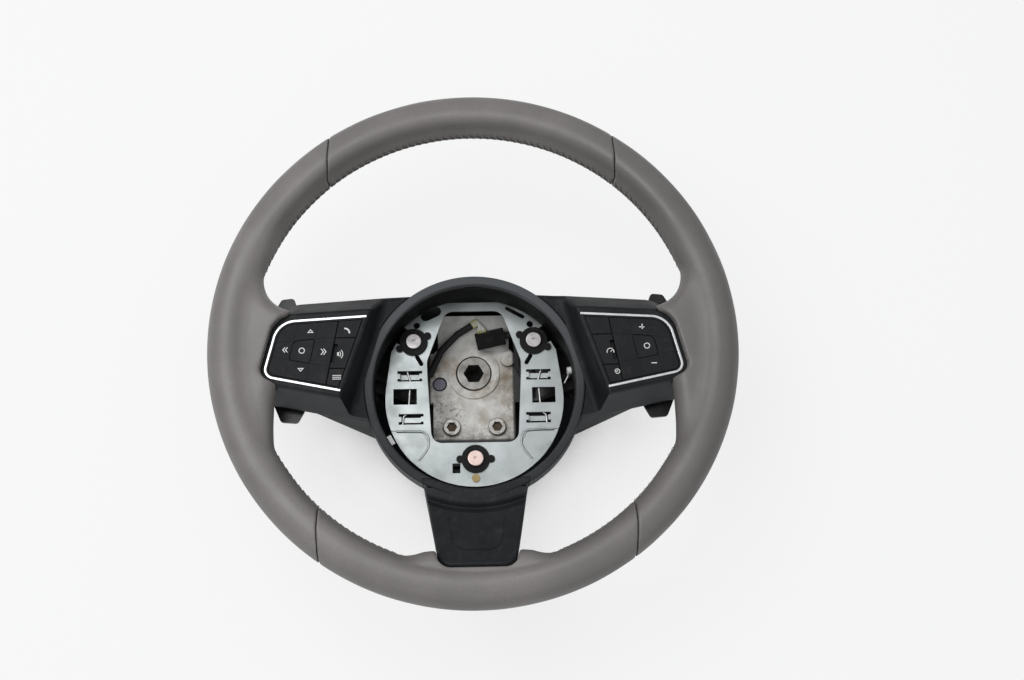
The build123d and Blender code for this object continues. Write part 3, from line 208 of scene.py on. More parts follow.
lamp = bpy.data.lights.new("ceiling", "AREA")
lamp.shape = "RECTANGLE"
lamp.size = ceiling_width
lamp.size_y = ceiling_depth
lamp.energy = ceiling_watts
ceiling = stand("ceiling", lamp)
ceiling.location = ceiling_place
ceiling.rotation_euler = (ceiling_aim - ceiling_place).to_track_quat("-Z", "Y").to_euler()

lens = bpy.data.cameras.new("photo_camera")
lens.sensor_width = sensor_width
lens.lens = sensor_width * focal_pixels / picture_pixels
camera = stand("photo_camera", lens)
camera_view = (
    Matrix.Translation(rim_in_view)
    @ Matrix.Rotation(camera_roll, 4, "Z")
    @ Matrix.Rotation(-camera_tilt, 4, "X")
    @ Matrix.Rotation(camera_turn, 4, "Z")
    @ Matrix.Translation((0, 0, -rim_height))
)
camera.matrix_world = camera_view.inverted()
bpy.context.scene.camera = camera


# Armature
# One die casting in a warm grey light alloy: the hub plate, the spring towers, the three channel
# arms and the core of the rim. The arms are painted near-black, a painted shade deep in the well,
# and years in a car have stained the bare hub.
def speckle(tree, scale, detail=3.0, rough=0.55, warp=0.0):
    """Noise from 0 to 1 over the object."""
    settings = {"Scale": scale, "Detail": detail, "Roughness": rough, "Distortion": warp}
    return add(tree, "TexNoise", settings, Vector=place_of(tree)).outputs["Fac"]


def near(tree, centre, inner, outer):
    """A mask that is 1 inside a ball and fades to 0 outside it, in millimetres."""
    away = work_out(tree, "DISTANCE", place_of(tree), Vector(centre) * mm, kind="VectorMath")
    return ramp(tree, away.outputs["Value"], outer * mm, inner * mm)


def stain(tree, under, zone, patches, share, color):
    """Lays a patchy stain over a colour, inside a zone."""
    return tint(tree, times(tree, times(tree, zone, patches), share), under, color)


def emboss(tree, shader, height, depth, strength):
    """Raises the surface by a height from 0 to 1 times a depth."""
    node = add(tree, "Bump", {"Strength": strength, "Distance": depth}, Height=height)
    tree.links.new(node.outputs["Normal"], shader.inputs["Normal"])


def paint(name, material):
    """Gives a CAD node its finish."""
    frame["nodes"][name].material_slots[0].material = material


casting, tree, shader = finish("casting", (0.6, 0.59, 0.56), 0.5, 0.2)
spot = add(tree, "SeparateXYZ", Vector=place_of(tree))
across = spot.outputs["X"]
along = spot.outputs["Y"]
from_middle = work_out(tree, "ABSOLUTE", across).outputs["Value"]
mottle = ramp(tree, speckle(tree, 90, 5), 0.35, 0.7)
tone = tint(tree, mottle, (0.56, 0.55, 0.52), (0.74, 0.73, 0.7))
brown = ramp(tree, speckle(tree, 60, 6, 0.65, 0.4), 0.42, 0.66)
tone = stain(tree, tone, near(tree, (14, -16, -2), 14, 46), brown, 0.7, (0.3, 0.22, 0.13))
brown_left = ramp(tree, speckle(tree, 75, 6, 0.65, 0.3), 0.43, 0.66)
tone = stain(tree, tone, near(tree, (-24, 6, -2), 6, 26), brown_left, 0.7, (0.33, 0.24, 0.14))
specks = ramp(tree, speckle(tree, 420, 3, 0.7), 0.52, 0.62)
tone = stain(tree, tone, near(tree, (-26, -34, -2), 8, 26), specks, 0.8, (0.12, 0.11, 0.1))
grime = ramp(tree, speckle(tree, 38, 6, 0.7, 0.5), 0.36, 0.6)
tone = stain(tree, tone, near(tree, (27, -6, -2), 6, 30), grime, 0.75, (0.2, 0.16, 0.11))
# Darker patches towards the sides of the hub and towards its bottom edge.
side_dark_patches = ramp(tree, speckle(tree, 150, 5, 0.7), 0.4, 0.62)
tone = stain(tree, tone, ramp(tree, from_middle, 19 * mm, 31 * mm), side_dark_patches, 0.6, (0.17, 0.145, 0.11))
low_dark_patches = ramp(tree, speckle(tree, 240, 5, 0.7), 0.42, 0.6)
tone = stain(tree, tone, ramp(tree, along, -34 * mm, -54 * mm), low_dark_patches, 0.65, (0.14, 0.125, 0.1))
# Painted shade: outside the bare hub the casting is painted near-black, standing for the deep shade in the
# well.
between_arms = times(
    tree, ramp(tree, across, 30.5 * mm, 28.5 * mm), ramp(tree, across, -34 * mm, -32 * mm)
)
hub_outside_painted_shade = times(tree, between_arms, ramp(tree, along, -52 * mm, -49.5 * mm))
tree.links.new(tint(tree, hub_outside_painted_shade, (0.016, 0.016, 0.016), tone), shader.inputs["Base Color"])
tree.links.new(times(tree, hub_outside_painted_shade, 0.2), shader.inputs["Metallic"])
tree.links.new(ramp(tree, speckle(tree, 70, 4), 0.3, 0.7, 0.42, 0.62), shader.inputs["Roughness"])
emboss(tree, shader, speckle(tree, 900, 4, 0.6), 0.25 * mm, 0.6)
paint("armature", casting)


# Column seat, hub screws and lock pin
# A turned steel insert with a hexagonal seat is pressed into the hub. Two socket screws hold the
# hub plate, and a blue plastic pin sits in the lock hole on the left.
machined, tree, shader = finish("machined_steel", (0.56, 0.55, 0.53), 0.34, 0.9)
turning = add(tree, "TexWave", {"Scale": 260.0, "Distortion": 0.6, "Detail": 1.0}, Vector=place_of(tree))
turning.wave_type = "RINGS"
turning.rings_direction = "Z"
dull = ramp(tree, speckle(tree, 160, 5), 0.4, 0.7)
tree.links.new(tint(tree, dull, (0.25, 0.245, 0.235), (0.15, 0.135, 0.115)), shader.inputs["Base Color"])
tree.links.new(ramp(tree, speckle(tree, 120, 4), 0.3, 0.7, 0.28, 0.5), shader.inputs["Roughness"])
emboss(tree, shader, turning.outputs["Fac"], 0.04 * mm, 0.5)
for node in ("hub_insert", "left_paddle_pin", "right_paddle_pin"):
    paint(node, machined)

screw_steel, tree, shader = finish("screw_steel", (0.4, 0.39, 0.37), 0.42, 0.8)
rusty = ramp(tree, speckle(tree, 260, 5, 0.6), 0.5, 0.7)
height = add(tree, "SeparateXYZ", Vector=place_of(tree)).outputs["Z"]
# Painted shade: below a height near the hub screws' heads the steel goes dark brown, standing for the
# shade in the sockets.
socket_shade = ramp(tree, height, 0.9 * mm, -0.8 * mm)
tone = tint(tree, rusty, (0.44, 0.43, 0.41), (0.24, 0.18, 0.12))
tree.links.new(tint(tree, socket_shade, tone, (0.06, 0.045, 0.03)), shader.inputs["Base Color"])
tree.links.new(ramp(tree, speckle(tree, 300, 3), 0.3, 0.7, 0.36, 0.6), shader.inputs["Roughness"])
for node in ("hub_screws", "rear_cover_screws"):
    paint(node, screw_steel)


def mottled(name, dark, light, scale, detail, roughness, metallic=0.0):
    """A finish whose tone wanders between two colours."""
    made, tree, shader = finish(name, light, roughness, metallic)
    tree.links.new(tint(tree, speckle(tree, scale, detail), dark, light), shader.inputs["Base Color"])
    return made


paint("lock_pin", mottled("pin_blue", (0.14, 0.13, 0.18), (0.27, 0.255, 0.32), 300, 4, 0.5))


# Rim leather
# Four pieces of warm grey smooth leather, wrapped over the foam and butted at four radial seams.
# Each is laced along the inner side and tucked in at the edge of its spoke cover. The side pieces
# reach in to the spokes with stubs that end at the bezels, and the lower one flares at its cover.
rim_radius = 172.5 * mm
grip_width = 30 * mm
grip_depth = 31 * mm
inner_radius = rim_radius - grip_width / 2
seam_turn = 0.25 * mm / rim_radius
upper_seam = math.radians(53)
lower_seam = math.radians(-51)
stub_front = rim_height + 11.5 * mm
stub_back = rim_height - 13 * mm
stub_round = 10.5 * mm
stub_high = 50 * mm
stub_low = -74 * mm
spoke_top = Vector((129.5, 24.5)) * mm
spoke_bottom = Vector((139.5, -37.0)) * mm
flare = [(60, -147.0), (50, -149.3), (43, -148.6), (37.5, -147.0), (32, -146.4)]
flare_end = (60, -161.7)
flare_foot = Vector((48, -149)) * mm
above_rim = 140 * mm
leather_step = 1.0 * mm
edge_gap = 0.2 * mm
ridge_angle = math.radians(107)
front_press = 1.1 * mm
inner_press = 2.4 * mm
lace_angle = math.radians(190)
lace_pitch = 5 * mm
lace_depth = 0.9 * mm
lump_height = 0.45 * mm
sway_height = 0.12 * mm
stitch_radius = 0.42 * mm
stitch_reach = 2.5 * mm
stitch_slant = math.radians(32)


def fade(value, low, high):
    """0 below low, 1 above high, smooth between."""
    share = min(max((value - low) / (high - low), 0.0), 1.0)
    return share * share * (3 - 2 * share)


def bow(start, end, sag, steps=8):
    """Points from start to end along an arc that sags to the left of the way."""
    way = end - start
    side = Vector((-way.y, way.x)).normalized()
    shares = [step / steps for step in range(steps + 1)]
    return [start + way * share + side * sag * (1 - (2 * share - 1) ** 2) for share in shares]


def raised_block(mesh, outline):
    """A plan outline raised from the back to the front of the stubs, with both rims rounded."""
    base = mesh.faces.new([mesh.verts.new((point.x, point.y, stub_back)) for point in outline])
    top = bmesh.ops.extrude_face_region(mesh, geom=[base], use_keep_orig=True)["geom"]
    top_verts = [item for item in top if isinstance(item, bmesh.types.BMVert)]
    bmesh.ops.translate(mesh, vec=(0, 0, stub_front - stub_back), verts=top_verts)
    rims = list(base.edges) + [edge for edge in top if isinstance(edge, bmesh.types.BMEdge)]
    bmesh.ops.bevel(
        mesh, geom=rims, offset=stub_round, segments=6, profile=0.5, affect="EDGES", material=-1
    )


def grip_blank(name, start, end, outline=None):
    """The oval grip between two seams, with a rounded block over an outline where one is given."""
    mesh = bmesh.new()
    sweep = end - start - 2 * seam_turn
    section = (
        Matrix.Rotation(start + seam_turn, 4, "Z")
        @ Matrix.Translation((rim_radius, 0, rim_height))
        @ Matrix.Rotation(math.pi / 2, 4, "X")
        @ Matrix.Diagonal((grip_width / 2, grip_depth / 2, 1, 1))
    )
    bmesh.ops.create_circle(mesh, segments=56, radius=1, matrix=section)
    oval = mesh.verts[:] + mesh.edges[:]
    steps = round(sweep * rim_radius / (4 * mm))
    bmesh.ops.spin(mesh, geom=oval, axis=(0, 0, 1), cent=(0, 0, 0), angle=sweep, steps=steps)
    bmesh.ops.holes_fill(mesh, edges=[edge for edge in mesh.edges if edge.is_boundary])
    if outline:
        raised_block(mesh, outline)
    bmesh.ops.recalc_face_normals(mesh, faces=mesh.faces)
    return keep(name, mesh)


def corners_of(node):
    """The vertices of a CAD node."""
    return [vert.co.copy() for vert in frame["nodes"][node].data.vertices]


def raised(points, low):
    """The plan of some points, at a low height and again above the rim."""
    return [Vector((point.x, point.y, level)) for point in points for level in (low, above_rim)]


def room_for(name, points):
    """A closed hull round points, wider by the edge gap."""
    mesh = bmesh.new()
    for point in points:
        mesh.verts.new(point)
    bmesh.ops.remove_doubles(mesh, verts=mesh.verts, dist=0.02 * mm)
    hull = bmesh.ops.convex_hull(mesh, input=mesh.verts)
    inside = set(hull["geom_interior"] + hull["geom_unused"])
    spare = [item for item in inside if isinstance(item, bmesh.types.BMVert)]
    bmesh.ops.delete(mesh, geom=spare, context="VERTS")
    low_corner = Vector([min(vert.co[axis] for vert in mesh.verts) for axis in range(3)])
    high_corner = Vector([max(vert.co[axis] for vert in mesh.verts) for axis in range(3)])
    middle = (low_corner + high_corner) / 2
    grow = [1 + 2 * edge_gap / (high_corner[axis] - low_corner[axis]) for axis in range(3)]
    bmesh.ops.scale(mesh, vec=grow, space=Matrix.Translation(-middle), verts=mesh.verts)
    bmesh.ops.recalc_face_normals(mesh, faces=mesh.faces)
    return keep(name, mesh)


def soften(mesh, verts):
    """Evens out some vertices once."""
    bmesh.ops.smooth_vert(mesh, verts=verts, factor=0.5, use_axis_x=True, use_axis_y=True, use_axis_z=True)


def tuck(blank, rooms=(), slack=None):
    """Cuts rooms out of a blank, makes it an even skin, and evens out its slack places."""
    for room in rooms:
        cut = blank.modifiers.new("cut", "BOOLEAN")
        cut.object = room
        cut.solver = "EXACT"
        cut.use_self = True
    remesh = blank.modifiers.new("skin", "REMESH")
    remesh.mode = "VOXEL"
    remesh.voxel_size = leather_step
    depsgraph = bpy.context.evaluated_depsgraph_get()
    skin = bpy.data.meshes.new_from_object(blank.evaluated_get(depsgraph))
    mesh = bmesh.new()
    mesh.from_mesh(skin)
    bpy.data.meshes.remove(skin)
    for helper in (blank, *rooms):
        bpy.data.objects.remove(helper)
    for _ in range(3):
        soften(mesh, mesh.verts)
    passes = {vert: slack(vert.co) for vert in mesh.verts} if slack else {}
    for turn in range(round(max(passes.values(), default=0))):
        soften(mesh, [vert for vert in passes if passes[vert] > turn])
    return mesh


def grip_place(point):
    """A point's angle round the wheel, way out from the middle of the grip, and angle round the grip."""
    aside = math.hypot(point.x, point.y) - rim_radius
    around = math.atan2(point.z - rim_height, aside) % (2 * math.pi)
    return math.atan2(point.y, point.x), aside, around


def out_of_grip(point):
    """The way from the middle of the grip to a point, across the grip."""
    radius = math.hypot(point.x, point.y)
    aside = radius - rim_radius
    return Vector((point.x * aside / radius, point.y * aside / radius, point.z - rim_height)).normalized()


def slant_seams(mesh):
    """Turns the ends of the leather pieces, so that the seams run straight towards the driver."""
    for vert in mesh.verts:
        turn, aside, _ = grip_place(vert.co)
        for seam in (upper_seam, math.pi - upper_seam, lower_seam, -math.pi - lower_seam):
            hold = 1 - fade(abs(turn - seam), math.radians(2), math.radians(14))
            vert.co.rotate(Matrix.Rotation(hold * aside / rim_radius / math.tan(seam), 3, "Z"))


def flatten_flanks(mesh):
    """Presses the front and inner faces of the grip flat, so that a soft ridge stands between them."""
    flanks = (
        (math.radians(35), ridge_angle, front_press),
        (ridge_angle, math.radians(200), inner_press),
    )
    for vert in mesh.verts:
        turn, _, around = grip_place(vert.co)
        share = fade(math.sin(turn), 0.38, 0.62) + 0.4 * fade(-math.sin(turn), 0.5, 0.7)
        for start, end, depth in flanks:
            if start < around < end:
                press = math.sin(math.pi * (around - start) / (end - start)) ** 2
                vert.co -= out_of_grip(vert.co) * share * press * depth


def pull_lacing(mesh, free):
    """Draws the leather in along the lacing line, leaves a lump between every two stitches, and stores a
    mask of painted shade and dirt.
    """
    shade = mesh.verts.layers.float.new("lacing")
    for vert in mesh.verts:
        turn, _, around = grip_place(vert.co)
        across = (around - lace_angle) * grip_width / 2
        hold = free(turn)
        sway = noise.noise(vert.co * 38) * sway_height
        groove = math.exp(-((across / (1.0 * mm)) ** 2))
        lump = math.exp(-(((abs(across) - 2.8 * mm) / (1.5 * mm)) ** 2))
        wave = 0.5 + 0.5 * math.cos(2 * math.pi * turn * inner_radius / lace_pitch)
        pull = lump_height * lump * wave - lace_depth * groove
        vert.co += out_of_grip(vert.co) * (sway + hold * pull)
        # The lacing mask marks the groove and the hollows between the lumps, for painted shade and dirt.
        vert[shade] = hold * max(groove, 0.35 * lump * (1 - wave))


leather, tree, shader = finish("grey_leather", (0.2, 0.187, 0.18), 0.42)
pores = add(tree, "TexVoronoi", {"Scale": 1150.0, "Randomness": 1.0}, Vector=place_of(tree))
worn = ramp(tree, speckle(tree, 14, 4, 0.6), 0.35, 0.7)
hide = tint(tree, worn, (0.185, 0.174, 0.167), (0.222, 0.208, 0.2))
flecks = ramp(tree, speckle(tree, 500, 3, 0.6), 0.45, 0.7)
hide = tint(tree, times(tree, flecks, 0.25), hide, (0.15, 0.14, 0.134))
lacing = add(tree, "Attribute")
lacing.attribute_name = "lacing"
# Painted shade and dirt: the leather is darkened in the lacing groove and between its lumps.
hide = tint(tree, times(tree, lacing.outputs["Fac"], 0.8), hide, (0.05, 0.047, 0.045))
# Painted shade: the leather is painted darker towards the right, where less light falls on it.
sideways = add(tree, "SeparateXYZ", Vector=place_of(tree)).outputs["X"]
painted_falloff_right = ramp(tree, sideways, 40 * mm, 170 * mm, 0.0, 0.28)
hide = tint(tree, painted_falloff_right, hide, (0.04, 0.037, 0.035))
tree.links.new(hide, shader.inputs["Base Color"])
tree.links.new(ramp(tree, speckle(tree, 22, 4), 0.3, 0.7, 0.36, 0.5), shader.inputs["Roughness"])
grain = work_out(tree, "ADD", pores.outputs["Distance"], speckle(tree, 260, 4, 0.6))
emboss(tree, shader, grain.outputs["Value"], 0.12 * mm, 0.35)

thread, tree, shader = finish("lacing_thread", (0.27, 0.26, 0.25), 0.7)
twist = add(tree, "TexWave", {"Scale": 900.0, "Distortion": 1.5}, Vector=place_of(tree)).outputs["Fac"]
tree.links.new(tint(tree, twist, (0.19, 0.18, 0.175), (0.33, 0.32, 0.31)), shader.inputs["Base Color"])
emboss(tree, shader, twist, 0.1 * mm, 0.6)


def coat(piece, material):
    """Gives a new piece its material and smooth shading."""
    piece.data.materials.clear()
    piece.data.materials.append(material)
    for polygon in piece.data.polygons:
        polygon.use_smooth = True


def dress(name, mesh, free, *nodes):
    """Shapes a leather piece and keeps it in place of its CAD nodes."""
    slant_seams(mesh)
    flatten_flanks(mesh)
    pull_lacing(mesh, free)
    piece = keep(name, mesh)
    coat(piece, leather)
    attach(piece, "wheel")
    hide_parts(*nodes)


stub_top = Vector((math.sqrt(inner_radius**2 - stub_high**2), stub_high))
stub_bottom = Vector((math.sqrt(inner_radius**2 - stub_low**2), stub_low))


def slack_at_spoke(place):
    """How often the leather is evened out: most at the stub's corners and in the dip beside the grip."""
    corner = min((place.xy - stub_top).length, (place.xy - stub_bottom).length)
    dip = abs(math.hypot(place.x, place.y) - (inner_radius + 3 * mm))
    along = fade(place.y, -80 * mm, -60 * mm) * fade(-place.y, -50 * mm, -35 * mm)
    return 60 * max(1.5 - 1.5 * corner / (20 * mm), along * (1.4 - 1.4 * dip / (11 * mm)), 0.0)


def slack_at_cover(place):
    """How often the leather is evened out at the foot of the flare."""
    return 40 - 40 * (Vector((abs(place.x), place.y)) - flare_foot).length / (11 * mm)


def clear_of_spoke(turn):
    """1 where the rim stands free of the side spokes."""
    height = abs(math.sin(turn)) * inner_radius
    return fade(height, 72 * mm, 80 * mm) if math.sin(turn) < 0 else fade(height, 48 * mm, 56 * mm)


def clear_of_cover(turn):
    """1 where the rim stands free of the lower spoke cover."""
    if math.sin(turn) > 0:
        return 1.0
    return fade(abs(math.cos(turn)) * inner_radius, 46 * mm, 54 * mm)


outline = bow(stub_top, spoke_top, 6.0 * mm) + bow(spoke_bottom, stub_bottom, 1.0 * mm)
outline += [Vector((rim_radius, stub_low)), Vector((rim_radius, stub_high))]
bezel_points = corners_of("right_spoke_bezel")
bezel_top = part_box("right_spoke_bezel")[1].z
bezel_face = [point for point in bezel_points if point.z > bezel_top - 0.05 * mm]
bezel_room = room_for("bezel_room", bezel_points)
face_room = room_for("face_room", raised(bezel_face, bezel_top - 1 * mm))
blank = grip_blank("right_grip_blank", lower_seam, upper_seam, outline)
right_mesh = tuck(blank, [bezel_room, face_room], slack_at_spoke)
left_mesh = right_mesh.copy()
bmesh.ops.scale(left_mesh, vec=(-1, 1, 1), verts=left_mesh.verts)
bmesh.ops.reverse_faces(left_mesh, faces=left_mesh.faces)
dress("right_leather", right_mesh, clear_of_spoke, "leather_right", "rim_foam")
dress("left_leather", left_mesh, clear_of_spoke, "leather_left")

blank = grip_blank("upper_grip_blank", upper_seam, math.pi - upper_seam)
dress("upper_leather", tuck(blank), clear_of_cover, "leather_upper")

outline = [Vector((-x, y)) * mm for x, y in flare] + [Vector((x, y)) * mm for x, y in reversed(flare)]
outline += [Vector(flare_end) * mm, Vector((0, -rim_radius)), Vector((-flare_end[0], flare_end[1])) * mm]
cover_room = room_for("cover_room", raised(corners_of("lower_spoke_cover"), 0.0))
blank = grip_blank("lower_grip_blank", math.pi - lower_seam, 2 * math.pi + lower_seam, outline)
lower_mesh = tuck(blank, [cover_room], slack_at_cover)
dress("lower_leather", lower_mesh, clear_of_cover, "leather_lower")

mesh = bmesh.new()
bmesh.ops.create_circle(mesh, segments=6, radius=stitch_radius)
bmesh.ops.translate(mesh, vec=(stitch_reach, 0, 0), verts=mesh.verts)
ring = mesh.verts[:] + mesh.edges[:]
bmesh.ops.spin(mesh, geom=ring, axis=(0, -1, 0), cent=(0, 0, 0), angle=math.pi, steps=6)
stitch = bpy.data.meshes.new("stitch")
mesh.to_mesh(stitch)
mesh.clear()
stitch_lay = (
    Matrix.Rotation(-lace_angle, 4, "Y")
    @ Matrix.Translation((grip_width / 2 - lace_depth, 0, 0))
    @ Matrix.Rotation(stitch_slant, 4, "X")
    @ Matrix.Rotation(math.pi / 2, 4, "Y")
    @ Matrix.Diagonal((1.0, 1.0, 0.5, 1.0))
)
lace_step = lace_pitch / inner_radius
for index in range(math.floor(2 * math.pi / lace_step)):
    turn = (index + 0.5) * lace_step - math.pi
    if clear_of_spoke(turn) > 0.9 and clear_of_cover(turn) == 1.0:
        laid = stitch.copy()
        middle = Matrix.Translation((rim_radius, 0, rim_height))
        laid.transform(Matrix.Rotation(turn, 4, "Z") @ middle @ stitch_lay)
        mesh.from_mesh(laid)
        bpy.data.meshes.remove(laid)
bpy.data.meshes.remove(stitch)
bmesh.ops.recalc_face_normals(mesh, faces=mesh.faces)
stitches = keep("rim_stitches", mesh)
coat(stitches, thread)
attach(stitches, "wheel")


# Moulded black covers
# The shroud ring round the airbag well, the rear cover, the spoke backs and the lower spoke cover
# are injection moulded black plastic with a fine spark-eroded grain, screwed and clipped on.
well_axis = Vector((0, -26, 0)) * mm
cover_half = 35 * mm
crease_length = 68 * mm
crease_rise = 7 * mm
crease_drop = 3.5 * mm


def effect(name, inputs, outputs):
    """An empty shader node group with named sockets."""
    group = bpy.data.node_groups.new(name, "ShaderNodeTree")
    for socket in inputs:
        group.interface.new_socket(socket, in_out="INPUT", socket_type="NodeSocketFloat")
    for socket in outputs:
        group.interface.new_socket(socket, in_out="OUTPUT", socket_type="NodeSocketFloat")
    return group, group.nodes.new("NodeGroupInput"), group.nodes.new("NodeGroupOutput")


moulded, group_in, group_out = effect("moulded_grain", ["Grain scale"], ["Height", "Patches", "Dust"])
grain_scale = group_in.outputs["Grain scale"]
fine = add(moulded, "TexNoise", {"Detail": 2.0}, Vector=place_of(moulded), Scale=grain_scale)
moulded.links.new(fine.outputs["Fac"], group_out.inputs["Height"])
patches = ramp(moulded, speckle(moulded, 28, 4, 0.6), 0.35, 0.7)
moulded.links.new(patches, group_out.inputs["Patches"])
facing = add(moulded, "SeparateXYZ", Vector=add(moulded, "NewGeometry").outputs["Normal"])
lying = ramp(moulded, facing.outputs["Z"], 0.4, 1.0)
dusty = times(moulded, lying, ramp(moulded, speckle(moulded, 140, 6, 0.7), 0.48, 0.75))
moulded.links.new(dusty, group_out.inputs["Dust"])


def moulded_plastic(name, dark, light, roughness, grain_scale, depth, dust=0.06, shine=0.1):
    """A moulded plastic with fine grain, handled patches and a little dust."""
    made, tree, shader = finish(name, dark, roughness)
    shader.inputs["Specular IOR Level"].default_value = shine
    grain = tree.nodes.new("ShaderNodeGroup")
    grain.node_tree = moulded
    grain.inputs["Grain scale"].default_value = grain_scale
    color = tint(tree, grain.outputs["Patches"], dark, light)
    color = tint(tree, times(tree, grain.outputs["Dust"], dust), color, (0.3, 0.29, 0.27))
    tree.links.new(color, shader.inputs["Base Color"])
    rough = ramp(tree, grain.outputs["Patches"], 0.0, 1.0, roughness - 0.05, roughness + 0.07)
    tree.links.new(rough, shader.inputs["Roughness"])
    emboss(tree, shader, grain.outputs["Height"], depth, 0.5)
    return made


def merged(node):
    """A mesh of a CAD node with its facets joined into whole faces."""
    mesh = bmesh.new()
    mesh.from_mesh(frame["nodes"][node].data)
    bmesh.ops.remove_doubles(mesh, verts=mesh.verts, dist=0.003 * mm)
    flat = math.radians(0.5)
    bmesh.ops.dissolve_limit(
        mesh, angle_limit=flat, verts=mesh.verts, edges=mesh.edges, use_dissolve_boundaries=False
    )
    return mesh


def eased(node, name, material, width, angle=35.0, mesh=None):
    """A copy of a CAD node with its sharp edges broken, in the node's place."""
    piece = keep(name, mesh or merged(node))
    coat(piece, material)
    breaking = piece.modifiers.new("broken_edges", "BEVEL")
    breaking.width = width
    breaking.segments = 2
    breaking.limit_method = "ANGLE"
    breaking.angle_limit = math.radians(angle)
    even = piece.modifiers.new("even_shading", "WEIGHTED_NORMAL")
    even.weight = 100
    even.keep_sharp = True
    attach(piece, frame["nodes"][node]["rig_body"])
    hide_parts(node)
    return piece


black_plastic = moulded_plastic(
    "black_moulding", (0.019, 0.0205, 0.023), (0.026, 0.028, 0.031), 0.4, 2600.0, 0.08 * mm
)
for node in ("rear_cover", "left_spoke_back", "right_spoke_back", "lower_spoke_back"):
    paint(node, black_plastic)

shroud_plastic = moulded_plastic(
    "shroud_black", (0.032, 0.034, 0.037), (0.042, 0.0445, 0.048), 0.36, 2600.0, 0.06 * mm
)
tree = shroud_plastic.node_tree
shader = tree.nodes["Principled BSDF"]
# Painted light: the top of the lip is painted lighter as if lit, and the inner wall below it near-black, a
# painted shade.
from_axis = work_out(tree, "SUBTRACT", place_of(tree), well_axis, kind="VectorMath").outputs["Vector"]
normal = add(tree, "NewGeometry").outputs["Normal"]
facing_out = work_out(tree, "DOT_PRODUCT", from_axis, normal, kind="VectorMath").outputs["Value"]
height = add(tree, "SeparateXYZ", Vector=place_of(tree)).outputs["Z"]
painted_lit_lip = ramp(tree, height, 63 * mm, 71 * mm)
below_lip = ramp(tree, height, 72 * mm, 66 * mm)
painted_shade_wall = times(tree, ramp(tree, facing_out, -52 * mm, -66 * mm), below_lip)
tone = shader.inputs["Base Color"].links[0].from_socket
tone = tint(tree, painted_lit_lip, tone, (0.085, 0.09, 0.095))
tree.links.new(tint(tree, painted_shade_wall, tone, (0.004, 0.0042, 0.0045)), shader.inputs["Base Color"])
tree.links.new(ramp(tree, painted_shade_wall, 0.0, 1.0, 0.36, 0.6), shader.inputs["Roughness"])
shroud = eased("hub_shroud", "shroud_ring", shroud_plastic, 0.5 * mm)

mesh = merged("lower_spoke_cover")
creases = [edge for edge in mesh.edges if edge.calc_length() > crease_length]
bmesh.ops.bevel(mesh, geom=creases, offset=1.5 * mm, segments=4, profile=0.5, affect="EDGES", material=-1)
for x in range(-32, 33, 4):
    whole = mesh.verts[:] + mesh.edges[:] + mesh.faces[:]
    bmesh.ops.bisect_plane(mesh, geom=whole, dist=0.001 * mm, plane_co=(x * mm, 0, 0), plane_no=(1, 0, 0))
for vert in mesh.verts:
    share = fade(vert.co.y, -126 * mm, -112 * mm) * fade(-vert.co.y, 97 * mm, 105 * mm)
    vert.co.y += share * (crease_rise * (vert.co.x / cover_half) ** 2 - crease_drop)
cover = eased("lower_spoke_cover", "lower_cover", black_plastic, 0.3 * mm, 40.0, mesh)


# Spoke bezels and chrome trims
# Satin dark grey mouldings round the switch packs, with a slope down to the hub whose edges are
# rounded. A U of satin chrome lies in a groove of each.
slope_round = 3.5 * mm
slope_corners = [
    Vector((71.0, 26.7, 86.8)) * mm,
    Vector((64.1, 36.4, 74.1)) * mm,
    Vector((47.9, 37.3, 74.2)) * mm,
    Vector((89.2, -46.3, 64.7)) * mm,
]


def at_slope(vert):
    """Whether a vertex is one of the corners of the slope towards the hub."""
    place = Vector((abs(vert.co.x), vert.co.y, vert.co.z))
    return any((place - corner).length < 0.5 * mm for corner in slope_corners)


bezel_plastic = moulded_plastic(
    "satin_bezel", (0.014, 0.0147, 0.016), (0.02, 0.021, 0.0225), 0.4, 3200.0, 0.05 * mm
)
tree = bezel_plastic.node_tree
shader = tree.nodes["Principled BSDF"]
# Painted reflection: walls facing the front are painted lighter, as if they mirrored the bright table.
normal = add(tree, "NewGeometry").outputs["Normal"]
painted_sheen_low_wall = ramp(tree, add(tree, "SeparateXYZ", Vector=normal).outputs["Y"], -0.35, -0.85)
tone = shader.inputs["Base Color"].links[0].from_socket
tree.links.new(tint(tree, painted_sheen_low_wall, tone, (0.05, 0.0525, 0.058)), shader.inputs["Base Color"])

chrome, tree, shader = finish("satin_chrome", (0.6, 0.6, 0.61), 0.3, 1.0)
tree.links.new(ramp(tree, speckle(tree, 180, 3), 0.3, 0.7, 0.26, 0.38), shader.inputs["Roughness"])
satin = tint(tree, speckle(tree, 90, 3), (0.58, 0.58, 0.59), (0.74, 0.74, 0.75))
tree.links.new(satin, shader.inputs["Base Color"])

for side in ("left", "right"):
    mesh = merged(f"{side}_spoke_bezel")
    creases = [edge for edge in mesh.edges if all(at_slope(vert) for vert in edge.verts)]
    bmesh.ops.bevel(
        mesh, geom=creases, offset=slope_round, segments=6, profile=0.5, affect="EDGES", material=-1
    )
    bezel = eased(f"{side}_spoke_bezel", f"{side}_bezel", bezel_plastic, 0.25 * mm, 40.0, mesh)
    paint(f"{side}_chrome_trim", chrome)


